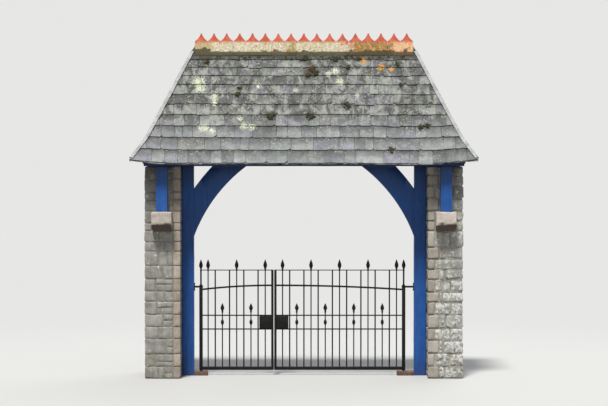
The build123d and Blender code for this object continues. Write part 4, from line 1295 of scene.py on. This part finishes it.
def leaf(node, bays):
    """Iron leaf: rods with spears between square bars, on flat rails and an arched one;
    x is measured from the hinge towards the meeting line."""
    piece = Piece(node + "_iron")
    axis = HINGE_AXIS[node]
    turn = 1 if axis < MEETING_LINE else -1
    width = abs(MEETING_LINE - axis) - MEETING_SETBACK
    half_bay = width / bays / 2
    lock_start = width - MEETING_HALF - LOCK_LENGTH
    arch_radius = (width ** 2 + ARCH_RISE ** 2) / (2 * ARCH_RISE)

    def add(points, faces):
        piece.add([Vector((axis + turn * p[0], p[1], p[2])) for p in points], faces)

    def bar(x0, x1, half, z0, z1, edge=0.002):
        add(*block((x0, -half, z0), (x1, half, z1), edge, 0.4))

    def rod(x, radius, z0, z1, sides=12):
        add(*lathe([(radius, z0), (radius, z1)], (x, 0, 0), sides))

    def rivet(x, z):
        for side in (-1, 1):
            add(*stud(RIVET, side * RAIL_HALF, side, (x, 0, z), 8))

    def spear(x, z, tall):
        """Spear head with a raised middle, on a small collar."""
        sections = []
        for share, wide, thick in SPEAR_OUTLINE:
            w, t = SPEAR_HALF * wide, SPEAR_THICK * thick
            sections.append([(x + a * w, b * t, z + share * tall) for a, b in SPEAR_RING])
        add(*loft(sections))
        add(*lathe(COLLAR, (x, 0, z - 0.004), 12))

    def arch(x):
        return ARCH_LOW + ARCH_RISE - (arch_radius - math.sqrt(arch_radius ** 2 - (width - x) ** 2))

    def stretches(x, half, foot, top):
        """The parts of an upright: one, or two where the lock's case is in its way."""
        if x > lock_start - half:
            return [(foot, BAND_BOTTOM), (BAND_TOP, top)]
        return [(foot, top)]

    # Hanging stile with its journals, and the flat rails
    bar(-STILE_HALF, STILE_HALF, STILE_HALF, LEAF_BOTTOM, STILE_TOP, 0.003)
    rod(0, JOURNAL, JOURNAL_FOOT, LEAF_BOTTOM + 0.01, 20)
    rod(0, JOURNAL, STILE_TOP - 0.01, JOURNAL_HEAD, 20)
    add(*lathe(HINGE_RING, (0, 0, JOURNAL_HEAD - 0.004), 20))
    rod(0, STILE_ROD, JOURNAL_HEAD + 0.006, UPPER_RAIL_TOP)
    spear(0, UPPER_RAIL_TOP, SPEAR_TALL)
    rail_start = STILE_HALF - 0.002
    for foot, top in ((LEAF_BOTTOM, LEAF_BOTTOM + BOTTOM_RAIL), (BAND_BOTTOM - BAND_RAIL, BAND_BOTTOM),
                      (BAND_TOP, BAND_TOP + BAND_RAIL)):
        bar(rail_start, width, RAIL_HALF, foot, top)
    bar(0.0, width, RAIL_HALF, UPPER_RAIL_TOP - UPPER_RAIL, UPPER_RAIL_TOP)
    bar(width - MEETING_HALF, width + MEETING_HALF, MEETING_HALF, LEAF_BOTTOM, UPPER_RAIL_TOP)

    # Arched rail
    r, e = RAIL_HALF, 0.001
    ring = ((-r, e), (-r, ARCHED_RAIL - e), (-r + e, ARCHED_RAIL), (r - e, ARCHED_RAIL), (r, ARCHED_RAIL - e),
            (r, e), (r - e, 0.0), (-r + e, 0.0))
    xs = [width * i / ARCH_STEPS for i in range(ARCH_STEPS + 1)]
    add(*loft([[(x, y, arch(x) + dz) for y, dz in ring] for x in xs]))

    # Square bars at each bay, and between them by turns rods with spears and dog bars
    for step in range(2, 2 * bays, 2):
        x = step * half_bay
        for z0, z1 in stretches(x, BAR_HALF, LEAF_BOTTOM, UPPER_RAIL_TOP):
            bar(x - BAR_HALF, x + BAR_HALF, BAR_HALF, z0, z1, 0.0015)
        rivet(x, LEAF_BOTTOM + BOTTOM_RAIL / 2)
        rivet(x, arch(x) + ARCHED_RAIL / 2)
    for first, top, tall in ((1, UPPER_RAIL_TOP, SPEAR_TALL), (3, DOG_TOP, SPEAR_SHORT)):
        for step in range(first, 2 * bays, 4):
            x = step * half_bay
            parts = stretches(x, ROD, LEAF_BOTTOM + 0.01, top)
            for z0, z1 in parts:
                rod(x, ROD, z0, z1)
            spear(x, top, tall)
            if first == 1:
                rivet(x, LEAF_BOTTOM + BOTTOM_RAIL / 2)
            elif len(parts) == 1:
                add(*lathe(KNOP, (x, 0, (BAND_BOTTOM + BAND_TOP) / 2), 18))
    piece.finish(IRON, "wrought_iron", body=node, replaces=[node], smooth=40.0)


def lock(node, body):
    """Riveted iron case."""
    piece = Piece(node + "_iron")
    low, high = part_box(node)
    piece.add(*block(low, high, 0.003, 0.2))
    for front in (-1, 1):
        for x in (low.x + CASE_RIVET_INSET, high.x - CASE_RIVET_INSET):
            for z in (low.z + CASE_RIVET_INSET, high.z - CASE_RIVET_INSET):
                piece.add(*stud(CASE_RIVET, front * high.y, front, (x, 0, z), 10))
    piece.finish(IRON, "wrought_iron", body=body, replaces=[node])


def hinge_bolts():
    """Four bolt heads on the plate of each hinge collar."""
    piece = Piece("hinge_plate_bolts")
    for side, sign in ((LEFT, -1), (RIGHT, 1)):
        low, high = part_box(side + "_hinge_collar")
        face = low.x + HINGE_PLATE if side == LEFT else high.x - HINGE_PLATE
        for y in (-BOLT_ACROSS, BOLT_ACROSS):
            for z in (HINGE_LEVEL - BOLT_UP, HINGE_LEVEL + BOLT_UP):
                piece.add(*stud(BOLT, face, -sign, (0, y, z), 6, axis=0))
    piece.finish(IRON, "wrought_iron", smooth=25.0)


leaf("narrow_leaf", 5)
leaf("wide_leaf", 9)
lock("lock_case", "narrow_leaf")
lock("lock_keep", "wide_leaf")
for node in ("left_hinge_collar", "right_hinge_collar"):
    eased_node(node, node + "_iron", 0.001, 1, IRON, "wrought_iron")
hinge_bolts()
for node in ("left_heel_stone", "right_heel_stone"):
    eased_node(node, node + "_worn", 0.006, 3, HEEL, "heel_stone")


# Size and end
[[list(map(float, corner)) for corner in box] for box in (cad_box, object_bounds())]
